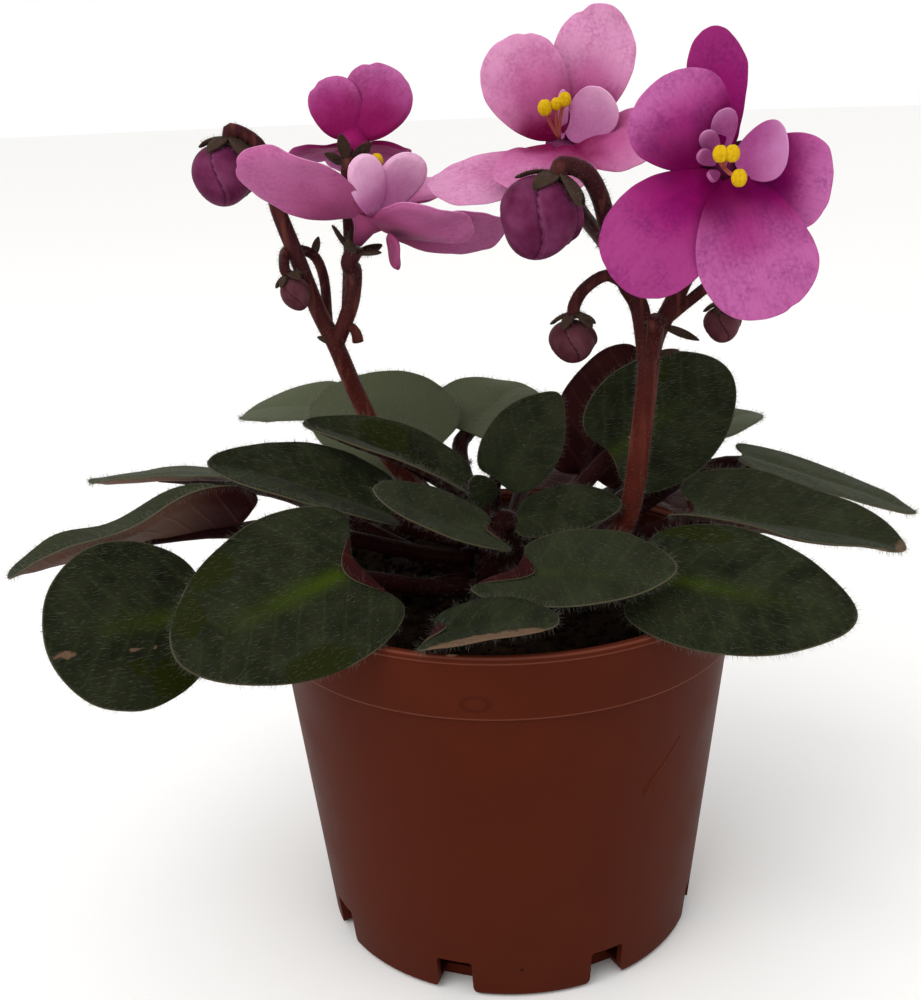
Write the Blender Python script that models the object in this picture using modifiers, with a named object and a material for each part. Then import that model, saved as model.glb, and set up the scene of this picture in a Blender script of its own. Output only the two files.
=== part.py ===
"""A miniature African violet in its nursery pot.

Metres, +Z up. The origin is the middle of the pot's underside, and the flowers look towards -Y.
"""

import math

import bmesh
import bpy
from mathutils import Matrix, Vector, noise

MM = 0.001

# The pot: a thin moulded shell with a collar, and drain notches round its foot.
POT_RIM_RADIUS = 31.0 * MM
POT_HEIGHT = 49.7 * MM
COLLAR_BOTTOM = 41.4 * MM
COLLAR_STEP = 0.7 * MM
COLLAR_FOOT_RADIUS = 30.4 * MM
POT_FOOT_RADIUS = 25.1 * MM
POT_WALL = 1.1 * MM
POT_FLOOR = 1.4 * MM
RIM_ROUNDING = 0.5 * MM
FOOT_ROUNDING = 0.7 * MM
POT_SIDES = 48
NOTCHES = 8
NOTCH_FIRST_ANGLE = math.radians(-17)
NOTCH_WIDTH = 4.6 * MM
NOTCH_HEIGHT = 5.0 * MM
NOTCH_FLARE = 1.2 * MM
NOTCH_DEPTH = 5.0 * MM

# The gap between pieces that touch on the real plant.
SEAT = 0.3 * MM

# The soil fills the pot to a little under the rim.
SOIL_TOP = 45.6 * MM
SOIL_CHAMFER = 4.0 * MM
SOIL_LUMPS = 0.45 * MM
SOIL_LUMP_SIZE = 4.0 * MM
SOIL_SIDES = 32
SOIL_RINGS = 5

# The crown is the short stem that every leaf and flower stalk grows from.
CROWN_FOOT = 38.0 * MM
CROWN_TOP = 56.5 * MM
CROWN_RADIUS = 4.0 * MM
CROWN_TIP_RADIUS = 2.6 * MM
CROWN_HOLE_RADIUS = CROWN_RADIUS + SEAT

# Leaves: a fleshy blade on a round stalk, which runs on below the blade as its midrib.
BLADE_THICKNESS = 0.8 * MM
BLADE_SIDES = 16
BLADE_RINGS = 2
LEAF_STALK_RADIUS = 1.15 * MM
MIDRIB_TIP_RADIUS = 0.5 * MM
MIDRIB_REACH = 0.55
MIDRIB_DEPTH = 0.25 * MM
SINUS_WIDTH = 0.45
FOLD_FADE = 0.6
# Where along a blade its halves sag, and how far that reaches, of its length
SAG_PLACE = 0.52
SAG_REACH = 0.22

# A leaf's stalk bends up to lie on the rim where it passes over it.
RIM_CLEARANCE_SPAN = 12 * MM
RIM_CLEARANCE_DROP = 6 * MM

# Petals are thinner than the leaves, with a short throat where they meet.
PETAL_THICKNESS = 0.65 * MM
PETAL_SIDES = 14
THROAT_RADIUS = 1.9 * MM
SEPAL_THICKNESS = 0.65 * MM
SEPAL_WIDTH = 1.7 * MM
SEPAL_SIDES = 6
RECEPTACLE_RADIUS = 1.3 * MM
SEPAL_DROP = 0.3 * MM
# No two sepals of a ring are quite alike, and each overlaps the last.
SEPAL_STEP = 0.06 * MM
PETAL_WAVE = 0.05
BUD_FOLD = 0.10
BUD_SWELL = 1.06

# Each leaf: where the stalk meets the blade, where the tip is, which way the upper face looks, the
# blade's width, how far it arches (degrees), how far its left and right halves rise (of the half
# width), how far its lobes reach back past the stalk (of its length), and the height at which its
# stalk leaves the crown. Lengths are in millimetres.
LEAVES = {
    "front_left": ((-18.5, -23, 57), (-36, -34, 52), (-0.05, -0.85, 0.6), 20.5, 15, (0.0, 0.0), 0.42, 47.4),
    "far_left": (
        (-35.5, -19.2, 51.0), (-52.0, -28.7, 52.0), (-0.1, -0.85, 0.6), 20.4, 15, (-0.1, 0.1), 0.1, 47.4,
    ),
    "left_edge": (
        (-33.1, -5, 57.8), (-59.8, -17, 55.4), (-0.05, -0.05, 1.0), 13.5, 18, (1.3, 0.65), 0.16, 50.2,
    ),
    "left_back": ((-36, 12, 58.6), (-57, 9, 59.3), (0.0, 0.2, 1.0), 15, 12, (0.05, 0.05), 0.16, 47.4),
    "left_middle": ((-14, -6.5, 59), (-36, -9, 67), (0.2, -0.25, 0.9), 14, 12, (0.35, 0.3), 0.16, 53.0),
    "left_upper": (
        (-5.2, -1.8, 60.6), (-25.2, -1, 69.6), (0.25, -0.35, 0.9), 10, 20, (0.75, 0.3), 0.16, 55.2,
    ),
    "back_left": ((-8.6, 12.5, 61.6), (-26.3, 22, 67.2), (0.1, -0.6, 0.8), 19, 25, (0.1, 0.1), 0.12, 53.0),
    "back_far_left": ((-24, 26, 64.6), (-40, 36, 61.5), (0.0, -0.3, 1.0), 12.5, 25, (0.1, 0.1), 0.16, 50.2),
    "back": ((-5, 17.5, 63), (4, 31, 66), (0.0, -0.4, 0.9), 16, 25, (0.1, 0.1), 0.16, 50.2),
    "heart": ((-0.4, 2.2, 60), (8, 7.2, 70.3), (0.2, -0.9, 0.3), 10.3, 15, (0.1, 0.1), 0.12, 55.0),
    "right_round": (
        (14.8, 4.5, 62.4), (31.2, 11, 72), (0.0, -0.9, 0.35), 17.2, 22, (0.05, 0.05), 0.18, 53.0,
    ),
    "right_upright": (
        (12.1, 11.5, 57.4), (18.6, 18.5, 74.3), (0.25, 0.92, 0.2), 14.5, 20, (0.1, 0.1), 0.16, 53.0,
    ),
    "back_right": ((28, 24, 59), (39.5, 34, 60), (0.0, -0.1, 1.0), 11, 25, (0.1, 0.1), 0.16, 50.2),
    "right_edge": (
        (33.5, 10.5, 60.2), (57, 8.5, 51.9), (0.1, -0.05, 1.0), 11.5, 6, (0.05, -0.05), 0.16, 47.4,
    ),
    "right_long": ((24.6, -6, 57.3), (49, -13, 54.9), (0.1, -0.28, 0.95), 14, 12, (0.55, 0.7), 0.26, 47.4),
    "front_right": ((17.5, -21, 55), (38.5, -31, 53), (0.1, -0.78, 0.68), 16, 15, (0.0, 0.0), 0.25, 47.4),
    "front_middle": (
        (4, -21.5, 56.0), (19.4, -26, 57.9), (-0.02, -0.55, 0.83), 11.0, -22, (0.3, 0.25), 0.48, 50.2,
    ),
    "small_right": ((2, -6.5, 57.4), (14.8, -10, 60.3), (0.0, -0.6, 0.8), 7.5, 20, (0.0, 0.0), 0.1, 55.0),
    "rim_curl": ((-6.2, -28.8, 52.4), (6, -33, 54.8), (0.3, -0.4, 0.85), 8.2, 25, (0.0, 0.25), 0.45, 47.4),
    "middle": ((-2.0, -12, 58.0), (-15, -16, 65.0), (0.3, -0.4, 0.85), 8.8, -12, (0.3, 0.1), 0.28, 53.0),
    "tiny": ((-1.5, -1.5, 58), (-3.5, -3, 62), (0.2, -0.9, 0.3), 4, 10, (0.1, 0.1), 0.1, 56.0),
    "behind_left": ((-10.4, 29, 54.5), (-17, 45, 46), (0.0, 0.5, 0.9), 16, 35, (0.1, 0.1), 0.16, 47.4),
    "behind": ((5, 31, 53.6), (6.5, 46, 43), (0.0, 0.5, 0.9), 17, 35, (0.1, 0.1), 0.16, 47.4),
    "behind_right": ((20, 24.5, 52.2), (31, 37, 40.5), (0.2, 0.5, 0.9), 16, 35, (0.1, 0.1), 0.16, 47.4),
}

# For leaves whose stalk leaves the crown at another angle than straight towards the blade (degrees).
STALK_TURN = {
    "far_left": -8, "rim_curl": 3, "back": -5, "back_right": 2, "behind_right": 5, "behind": 8,
    "behind_left": 10, "right_upright": 12, "right_round": -4, "right_edge": 4,
}
# Leaves that are more pointed, or with one lobe longer than the other
LEAF_SHAPE = {
    "heart": {"point": 0.35}, "front_right": {"point": 0.2}, "left_upper": {"point": 0.3},
    "front_middle": {"skew": -0.8}, "middle": {"skew": 0.7}, "far_left": {"point": 0.0, "waist": 0.12},
    "left_edge": {"sag": 0.5}, "right_long": {"sag": 0.2},
}
# Stalks that come up to their blade from behind, so that the blade's lobes hide them
STALK_DIP = {"front_left": 0.9, "front_right": 0.3, "far_left": 0.3, "right_edge": 0.25, "back_right": 0.4}
# Stalks that are stouter than the rest where they leave the crown
STALK_GIRTH = {"right_edge": 1.45}

# Each stem of a flower stalk: the points it passes through, its first and last radius, and the flower
# or bud at its end. Each bract: its foot, its tip and its width. Lengths are in millimetres.
STALKS = {
    "stalk_left": {
        "root": (167, 52.4),
        "stems": [
            ([(-9, 5, 55.5), (-14.5, 5.7, 62), (-18.3, 5.5, 70.4), (-20.7, 3, 78.4), (-22.7, 3, 83),
              (-25, 3, 90.1),
              (-26.9, 3, 96), (-27.3, 2.6, 100), (-28.7, 2.2, 103.8)], 1.35, 0.8, "bud_far_left"),
            ([(-20.7, 3, 78.4), (-19.4, 2, 81.2), (-18.2, 2, 84.3), (-17.6, 1, 88)], 1.0, 1.1, "left"),
            ([(-18.8, 2, 83), (-18.7, 5, 87), (-18.7, 8.6, 91), (-18.6, 8.6, 97)], 0.8, 0.9, "far"),
            ([(-21.6, 3.5, 81.5), (-22.2, 7, 86.5), (-23.5, 7, 89.6), (-26.2, 4, 90.6)],
             0.65, 0.7, "bud_left"),
            ([(-19.6, 2.4, 80.4), (-18.6, 1.8, 81), (-17.9, 1.8, 80.2), (-17.7, 1.9, 79.0)],
             0.5, 0.75, None),
        ],
        "bracts": [((-20.7, 2.6, 78.8), (-22.9, 1.4, 79.9), 1.0), ((-23.4, 7, 89.2), (-22.4, 6.2, 92), 1.2)],
    },
    "stalk_right": {
        "root": (-27, 50.6),
        "stems": [
            ([(8.5, -5, 51.2), (12.4, -7, 53.5), (15.8, -8, 58.1), (17.4, -8, 69), (18.3, -8, 78.6)],
             1.35, 1.35, None),
            ([(18.1, -8, 76.5), (17.2, -7, 83.6), (15.4, -7, 87.1), (13.5, -8.5, 92.5), (12.2, -10.6, 97.2),
              (10.4, -12.4, 100.2)], 1.2, 1.0, "bud_large"),
            ([(15.6, -7, 86.6), (13.2, -7, 87.8), (10.6, -7.4, 86.4)], 0.7, 0.8, "bud_middle"),
            ([(18.3, -8, 77.5), (19.4, -6, 80.5), (21.6, -5, 84.5), (25, -4.2, 91.8), (26.4, -4.8, 97.6)],
             1.1, 1.1, "right"),
            ([(20.3, -5.4, 81.8), (23.4, -5, 84.2), (26, -5, 86.0)], 0.7, 0.75, "bud_right"),
            ([(14.6, -7.6, 89.4), (13, -1, 91.5), (11, 6, 94), (9.8, 11, 96.5)], 0.9, 1.1, "back"),
            ([(18.3, -8, 77), (18.6, -9.6, 80.6), (18.7, -11, 83.2)], 0.9, 1.1, None),
        ],
        "bracts": [((20, -5.8, 81.4), (24.5, -7, 79.6), 1.2), ((18.8, -7.6, 78.2), (21.9, -8, 78.8), 0.9)],
    },
}

# Each open flower: the throat's two ends, then its petals and its paler inner lobes as base, tip,
# face, width and arch, and its anthers: the foot of their filaments, then each as a middle and a
# radius. Its sepals: their number, length, spread from the throat's way and first turn (degrees).
# Lengths are in millimetres.
FLOWERS = {
    "right": {
        "throat": ((26, -8.9, 100.4), (25.8, -12.6, 100.5)),
        "petals": [
            ((25.6, -12.6, 101.6), (25.2, -10, 115.4), (0.45, -0.9, 0.2), 8.2, -10),
            ((24.6, -13, 101), (17.6, -12, 109.4), (-0.1, -0.95, 0.1), 11.5, 20),
            ((24.7, -13.4, 99.6), (13.6, -18, 88.4), (-0.1, -0.95, 0.25), 12.2, 25),
            ((26.2, -13.9, 99.3), (30.4, -18.8, 84.4), (0.1, -0.95, 0.3), 13.2, 25),
            ((27, -13, 100.3), (38, -12, 97), (0.1, -0.95, 0.15), 10.6, 20),
        ],
        "lobes": [
            ((26.8, -13, 101), (31.8, -17, 103), (0.3, -0.9, 0.4), 6.6, -40),
            ((25.6, -12.6, 101.6), (25.4, -14.8, 106.8), (0.1, -0.95, 0.1), 3.4, -30),
            ((25, -12.8, 101.4), (22.6, -15.4, 104.6), (-0.2, -0.95, 0.1), 2.6, -30),
        ],
        "anthers": (
            (25.5, -14.2, 100.3), [(24.6, -17, 101.7, 0.8), (26, -17, 101.7, 0.8), (26.6, -17, 99.2, 0.9)],
        ),
        "sepals": (5, 4.0, 66, 20),
    },
    "back": {
        "throat": ((9, 10, 99.6), (8.7, 7.2, 102)),
        "petals": [
            ((8.2, 7.4, 102.8), (1.7, 9, 115), (-0.1, -0.97, 0.1), 10.5, 20),
            ((9.4, 7.8, 102.8), (15.2, 12, 118.6), (0.1, -0.97, 0.2), 10.2, 20),
            ((7.6, 6.6, 102), (-7.4, -1.2, 98.2), (0.0, -0.5, 0.87), 11.0, -22),
            ((8.5, 6, 102), (4.6, -7, 97.4), (0.0, -0.4, 0.92), 12.5, 25),
            ((9.6, 6.6, 102), (21, 2.6, 103), (-0.1, -0.62, 0.78), 11.0, 15),
        ],
        "lobes": [
            ((9.6, 7.0, 102.8), (14.6, 4.6, 108), (0.1, -0.9, 0.3), 6.2, -40),
            ((8.9, 7.2, 102.8), (9, 6, 108.8), (0.1, -0.9, 0.3), 1.5, -20),
        ],
        "anthers": ((8.4, 6, 103.1), [(6.6, 3.4, 106.8, 0.9), (8.0, 3.4, 107.2, 0.7), (9, 3.2, 107.7, 0.8)]),
        "sepals": (5, 4.0, 66, 0),
    },
    "left": {
        "throat": ((-16.9, 0.1, 91.5), (-15, -0.2, 95.2)),
        "petals": [
            ((-15.9, -1.2, 95.2), (-28.9, -8, 103.4), (0.45, 0.85, 0.6), 11.5, -15),
            ((-14.4, -1.8, 94), (-3.2, -9.5, 95.4), (-0.05, 0.62, 0.8), 10.5, -15),
            ((-13.6, -0.6, 93.8), (1.6, 1.5, 92.6), (-0.05, 0.6, 0.8), 10.0, -20),
            ((-14.6, 1, 95.2), (-8.6, 13, 98.5), (-0.1, -0.2, 1.0), 9.6, -15),
            ((-16, 0.8, 95.4), (-25.6, 6, 100.4), (0.3, -0.2, 1.0), 7.4, -15),
            ((-12.6, -1.6, 92.6), (-10.8, -4.4, 89), (0.0, 0.75, 0.65), 5.2, -20),
        ],
        "lobes": [
            ((-14.4, -1.4, 95.2), (-16.2, -3.4, 102.2), (-0.8, 0.5, 0.2), 6.2, -40),
            ((-14, -0.6, 95.2), (-8.6, 0.3, 101.8), (-0.3, 0.9, 0.3), 5.6, 50),
        ],
        "anthers": ((-15, 1.6, 96.5), [(-15.6, 4.2, 101, 0.8), (-14.3, 4.4, 101.2, 0.8)]),
        "sepals": (5, 4.1, 58, 20),
        "cup": (0.3, 0.7, 1.7),
    },
    "far": {
        "throat": ((-17.9, 7.9, 101.5), (-17.6, 10.6, 103.4)),
        "petals": [
            ((-18.3, 10.4, 103.6), (-20.6, 9.5, 111.2), (0.1, 0.95, 0.1), 6.8, -15),
            ((-17, 10.4, 103.6), (-12.2, 9.5, 112.2), (0.1, 0.95, 0.2), 8.6, -15),
            ((-18.4, 11, 103), (-26.2, 15.5, 100.8), (0.0, 0.2, 1.0), 8.0, 20),
            ((-17.6, 11.4, 103), (-17.8, 22, 98.5), (0.0, 0.4, 1.0), 9.5, 20),
            ((-17, 11, 103), (-12, 16.5, 100.4), (0.0, 0.3, 1.0), 7.0, 20),
        ],
        "lobes": [((-17.6, 10.8, 104), (-17.4, 14, 108), (0.0, 0.9, 0.4), 4.5, -30)],
        "anthers": ((-17.5, 12.7, 103.8), [(-18.2, 16, 105.6, 0.8), (-16.9, 16, 105.6, 0.8)]),
        "sepals": (5, 3.6, 60, 18),
    },
}

# Each bud: its middle, which way it points, its greatest radius and its length (millimetres).
BUDS = {
    "bud_far_left": ((-33.0, 2, 100.2), (-0.25, 0, -1), 3.9, 7.6),
    "bud_large": ((5.2, -13.6, 95.4), (-0.45, 0, -1), 4.6, 9.4),
    "bud_middle": ((9.1, -8, 80.2), (-0.05, 0, -1), 2.8, 5.2),
    "bud_right": ((27.2, -6, 81.3), (0, 0, -1), 2.2, 4.4),
    "bud_left": ((-24.9, -0.2, 85.7), (0.35, 0, -1), 1.8, 4.4),
}


def material(name, colour, roughness):
    """A Principled BSDF in this colour, given as sRGB from 0 to 1."""
    made = bpy.data.materials.new(name)
    made.use_nodes = True
    shader = made.node_tree.nodes["Principled BSDF"]
    linear = [c / 12.92 if c <= 0.04045 else ((c + 0.055) / 1.055) ** 2.4 for c in colour]
    shader.inputs["Base Color"].default_value = (*linear, 1.0)
    shader.inputs["Roughness"].default_value = roughness
    shader.inputs["Metallic"].default_value = 0.0
    made.diffuse_color = (*linear, 1.0)
    return made


def new_object(name, mesh, collection, finish=None):
    """An object for this mesh, in this collection, with one material."""
    obj = bpy.data.objects.new(name, mesh)
    collection.objects.link(obj)
    if finish is not None:
        mesh.materials.clear()
        mesh.materials.append(finish)
    return obj


def solid_from(obj, name, collection, finish=None, weld=0.00001):
    """Replaces a curve, or a mesh with modifiers, by the closed mesh that it evaluates to."""
    bpy.context.view_layer.update()
    graph = bpy.context.evaluated_depsgraph_get()
    mesh = bpy.data.meshes.new_from_object(obj.evaluated_get(graph), depsgraph=graph)
    if weld:
        bm = bmesh.new()
        bm.from_mesh(mesh)
        bmesh.ops.remove_doubles(bm, verts=bm.verts, dist=weld)
        bm.to_mesh(mesh)
        bm.free()
    place = obj.matrix_world.copy()
    bpy.data.objects.remove(obj)
    made = new_object(name, mesh, collection, finish)
    made.matrix_world = place
    return made


def union(name, pieces, collection, finish):
    """One closed body from pieces that overlap: a Boolean union of the first with all the rest."""
    body, others = pieces[0], pieces[1:]
    if others:
        group = bpy.data.collections.new(name + "_pieces")
        bpy.context.scene.collection.children.link(group)
        for piece in others:
            for home in list(piece.users_collection):
                home.objects.unlink(piece)
            group.objects.link(piece)
        joining = body.modifiers.new("Join", "BOOLEAN")
        joining.operation = "UNION"
        joining.operand_type = "COLLECTION"
        joining.collection = group
        joining.solver = "EXACT"
        body = solid_from(body, "piece", collection, finish, weld=0.0)
        for piece in others:
            bpy.data.objects.remove(piece)
        bpy.data.collections.remove(group)
    body.name = name
    return body


def tube(points, radii, collection, roundness=1):
    """A round stem through these points, as a bevelled curve made into a mesh."""
    curve = bpy.data.curves.new("piece", "CURVE")
    curve.dimensions = "3D"
    curve.bevel_depth = 1.0
    curve.bevel_resolution = roundness
    curve.use_fill_caps = True
    spline = curve.splines.new("POLY")
    spline.points.add(len(points) - 1)
    for spot, point, radius in zip(spline.points, points, radii):
        spot.co = (*point, 1.0)
        spot.radius = radius
    return solid_from(new_object("piece", curve, collection), "piece", collection)


def hermite(start, start_way, end, end_way, steps):
    """Points along the smooth path that leaves start along start_way and reaches end along end_way."""
    path = []
    for step in range(steps + 1):
        t = step / steps
        path.append(
            start * (2 * t**3 - 3 * t**2 + 1)
            + start_way * (t**3 - 2 * t**2 + t)
            + end * (3 * t**2 - 2 * t**3)
            + end_way * (t**3 - t**2)
        )
    return path


def smooth_path(points, steps):
    """A Catmull-Rom curve through points, with this many steps between two of them."""
    ends = [points[0] * 2 - points[1], *points, points[-1] * 2 - points[-2]]
    path = []
    for before, here, after, beyond in zip(ends, ends[1:], ends[2:], ends[3:]):
        path += hermite(here, (after - before) / 2, after, (beyond - here) / 2, steps)[:-1]
    return [*path, points[-1]]


class Blade:
    """The middle surface of a leaf or petal, between a base point and a tip.

    Its own axes are x along the midrib, y across it and z out of the upper face. The midrib is an arc,
    and the two halves rise or fall from it as wings.
    """

    def __init__(self, base, tip, face, width, arch=0.0, wings=(0.0, 0.0), lobe=0.0, point=0.0, waist=0.0,
                 cup=0.0, wave=0.0, waves=5, wave_start=0.0, skew=0.0, sag=0.0):
        self.base = Vector(base)
        chord = Vector(tip) - self.base
        self.along = chord.normalized()
        facing = Vector(face)
        self.normal = (facing - self.along * facing.dot(self.along)).normalized()
        self.across = self.normal.cross(self.along)
        self.half_turn = math.radians(arch) / 2 if abs(arch) > 0.5 else math.radians(0.25)
        self.length = chord.length * self.half_turn / math.sin(self.half_turn)
        self.bend = 2 * self.half_turn / self.length
        self.half_width = width / 2
        self.wings, self.lobe, self.point, self.waist = wings, lobe * self.length, point, waist
        self.cup, self.wave, self.waves, self.wave_start = cup, wave, waves, wave_start
        self.skew, self.sag = skew, sag

    def surface(self, x, y, lift=0.0):
        """The point at x along the midrib and y across it, raised by lift out of the upper face."""
        turn = self.half_turn - self.bend * x
        run = (math.sin(self.half_turn) - math.sin(turn)) / self.bend
        rise = (math.cos(turn) - math.cos(self.half_turn)) / self.bend
        side = y / self.half_width
        wing = self.wings[0] if side > 0 else self.wings[1]
        soft = math.sqrt(side * side + 0.01) - 0.1
        share = min(1.0, max(0.0, x / self.length))
        sagging = self.sag * math.exp(-(((share - SAG_PLACE) / SAG_REACH) ** 2))
        height = wing * (1 - FOLD_FADE * share**2) - sagging
        lift += self.half_width * (height * soft + self.cup * side * side)
        return (
            self.base
            + self.along * (run - lift * math.sin(turn))
            + self.normal * (rise + lift * math.cos(turn))
            + self.across * y
        )

    def rim(self, rho, theta):
        """x and y of a point of the outline, shrunk by rho: theta is 0 at the tip and pi at the sinus."""
        cosine, sine = math.cos(theta), math.sin(theta)
        lobe = self.lobe * (1 + self.skew * sine)
        reach = (self.length + lobe) / 2
        middle = (self.length - lobe) / 2
        x = middle + reach * cosine * rho
        sinus = math.exp(-(((math.pi - abs(theta)) / SINUS_WIDTH) ** 2))
        x += lobe * sinus * rho**4
        taper = 1 - self.point * max(0.0, cosine) ** 2 + self.waist * cosine
        return x, self.half_width * sine * rho * taper

    def spot(self, rho, theta):
        """The place on the surface of the unit disc's point at radius rho and angle theta."""
        x, y = self.rim(rho, theta)
        ripple = self.wave * rho**3 * math.sin(self.waves * theta + self.wave_start)
        return self.surface(x, y, ripple * self.half_width)


def blade_object(blade, thickness, sides, rings, collection):
    """A disc of rings, bent into the blade's form and given its thickness towards the underside."""
    bm = bmesh.new()
    bmesh.ops.create_circle(bm, cap_ends=True, radius=1.0, segments=sides)
    bm.faces.ensure_lookup_table()
    middle = bm.faces[0]
    step = math.cos(math.pi / sides) / rings
    for _ in range(rings - 1):
        bmesh.ops.inset_region(bm, faces=[middle], thickness=step, use_even_offset=True)
    bmesh.ops.poke(bm, faces=[middle])
    for vert in bm.verts:
        rho = min(1.0, vert.co.xy.length)
        vert.co = blade.spot(rho, math.atan2(vert.co.y, vert.co.x))
    bmesh.ops.recalc_face_normals(bm, faces=bm.faces)
    upper = sum((face.normal * face.calc_area() for face in bm.faces), Vector())
    if upper.dot(blade.normal) < 0:
        bmesh.ops.reverse_faces(bm, faces=bm.faces)
    mesh = bpy.data.meshes.new("piece")
    bm.to_mesh(mesh)
    bm.free()
    obj = new_object("piece", mesh, collection)
    wall = obj.modifiers.new("Thickness", "SOLIDIFY")
    wall.thickness = thickness
    wall.offset = -1.0
    return solid_from(obj, "piece", collection)


def screw_object(name, profile, sides, collection, finish):
    """A turned piece: a profile of (radius, height) points, spun about Z."""
    mesh = bpy.data.meshes.new(name)
    points = [(radius, 0.0, height) for radius, height in profile]
    mesh.from_pydata(points, [(i, i + 1) for i in range(len(points) - 1)], [])
    obj = new_object(name, mesh, collection, finish)
    turning = obj.modifiers.new("Turn", "SCREW")
    turning.axis = "Z"
    turning.steps = sides
    turning.render_steps = sides
    turning.use_merge_vertices = True
    turning.merge_threshold = 0.00001
    turning.use_smooth_shade = True
    return obj


def rounded(corner, radius, start, stop, steps=3):
    """Points of an arc about corner, from start to stop in degrees."""
    turns = [math.radians(start + (stop - start) * i / steps) for i in range(steps + 1)]
    return [(corner[0] + radius * math.cos(t), corner[1] + radius * math.sin(t)) for t in turns]


def outer_radius(height):
    """The pot's outer radius below the collar."""
    wall_top = COLLAR_FOOT_RADIUS - COLLAR_STEP
    return POT_FOOT_RADIUS + (wall_top - POT_FOOT_RADIUS) * height / COLLAR_BOTTOM


def inner_radius(height):
    """The pot's inner radius, which is straight from the floor to the rim."""
    top = POT_RIM_RADIUS - 2 * RIM_ROUNDING - POT_WALL * 0.5
    foot = POT_FOOT_RADIUS - POT_WALL
    return foot + (top - foot) * height / POT_HEIGHT


def notch_cutter(collection):
    """One drain notch, seen from outside: square above, flared to two round feet below."""
    half, low = NOTCH_WIDTH / 2, -2 * MM
    left = rounded((-half - NOTCH_FLARE, NOTCH_FLARE), NOTCH_FLARE, -90, 0, 2)
    outline = [(-half - NOTCH_FLARE, low), *left, (-half, NOTCH_HEIGHT)]
    outline += [(-x, z) for x, z in reversed(outline)]
    curve = bpy.data.curves.new("notch", "CURVE")
    curve.dimensions = "2D"
    curve.fill_mode = "BOTH"
    curve.extrude = NOTCH_DEPTH / 2
    spline = curve.splines.new("POLY")
    spline.use_cyclic_u = True
    spline.points.add(len(outline) - 1)
    for spot, (x, z) in zip(spline.points, outline):
        spot.co = (x, z, 0.0, 1.0)
    return solid_from(new_object("notch", curve, collection), "notch", collection)


def pot(parts, cutters, finish):
    """The pot: a turned shell whose foot is cut by the drain notches."""
    collar = [(POT_RIM_RADIUS, COLLAR_BOTTOM + 6 * MM), (COLLAR_FOOT_RADIUS, COLLAR_BOTTOM)]
    rim_centre = (POT_RIM_RADIUS - RIM_ROUNDING, POT_HEIGHT - RIM_ROUNDING)
    lip = rounded(rim_centre, RIM_ROUNDING, 90, 0)
    foot_centre = (POT_FOOT_RADIUS - FOOT_ROUNDING, FOOT_ROUNDING)
    foot = rounded(foot_centre, FOOT_ROUNDING, 0, -90)
    profile = [
        (inner_radius(POT_FLOOR), POT_FLOOR),
        (inner_radius(POT_HEIGHT), POT_HEIGHT),
        *lip,
        *collar,
        (outer_radius(COLLAR_BOTTOM), COLLAR_BOTTOM - 0.2 * MM),
        *foot,
        (0.0, 0.0),
    ]
    body = screw_object("pot", [(0.0, POT_FLOOR), *profile], POT_SIDES, parts, finish)
    cutter = notch_cutter(cutters)
    for number in range(NOTCHES):
        angle = NOTCH_FIRST_ANGLE + math.tau * number / NOTCHES
        place = cutter if number == 0 else new_object("notch", cutter.data, cutters)
        way = Vector((math.sin(angle), -math.cos(angle), 0.0))
        place.matrix_world = Matrix.Translation(way * (POT_FOOT_RADIUS - NOTCH_DEPTH / 2 + 1.5 * MM)) @ (
            Matrix.Rotation(angle, 4, "Z") @ Matrix.Rotation(math.radians(90), 4, "X")
        )
        place.hide_render = True
        place.display_type = "WIRE"
    cutting = body.modifiers.new("Drain notches", "BOOLEAN")
    cutting.operation = "DIFFERENCE"
    cutting.operand_type = "COLLECTION"
    cutting.collection = cutters
    cutting.solver = "EXACT"
    return body


def soil(parts, finish):
    """The soil: a plug that fills the pot, with a lumpy top and a plain hole for the crown."""
    radius = inner_radius(SOIL_TOP) - SEAT
    foot = POT_FLOOR + SEAT
    profile = [(CROWN_HOLE_RADIUS, CROWN_FOOT - 1 * MM)]
    for ring in range(SOIL_RINGS + 1):
        profile.append((CROWN_HOLE_RADIUS + (radius - CROWN_HOLE_RADIUS) * ring / SOIL_RINGS, SOIL_TOP))
    profile += [
        (inner_radius(foot + SOIL_CHAMFER) - SEAT, foot + SOIL_CHAMFER),
        (inner_radius(foot) - SEAT - SOIL_CHAMFER, foot),
        (0.0, foot),
    ]
    obj = screw_object("soil", [(0.0, CROWN_FOOT - 1 * MM), *profile], SOIL_SIDES, parts, finish)
    obj = solid_from(obj, "soil", parts, finish)
    bm = bmesh.new()
    bm.from_mesh(obj.data)
    for vert in bm.verts:
        if vert.co.z > SOIL_TOP - 0.1 * MM:
            vert.co.z += SOIL_LUMPS * (noise.noise(vert.co / SOIL_LUMP_SIZE) - 0.3)
    bm.to_mesh(obj.data)
    bm.free()
    return obj


def crown_radius(height):
    """The crown's radius: straight in the soil, drawn in towards its top."""
    share = max(0.0, (height - SOIL_TOP) / (CROWN_TOP - SOIL_TOP))
    return CROWN_RADIUS + (CROWN_TIP_RADIUS - CROWN_RADIUS) * share


def crown(parts, finish):
    """The crown: a short turned stem, standing in the soil's hole."""
    profile = [
        (0.0, CROWN_TOP),
        (crown_radius(CROWN_TOP) * 0.6, CROWN_TOP - 0.2 * MM),
        (crown_radius(CROWN_TOP), CROWN_TOP - 1.2 * MM),
        (CROWN_RADIUS, SOIL_TOP),
        (CROWN_RADIUS * 0.8, CROWN_FOOT),
        (0.0, CROWN_FOOT),
    ]
    return screw_object("crown", profile, 20, parts, finish)


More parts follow.
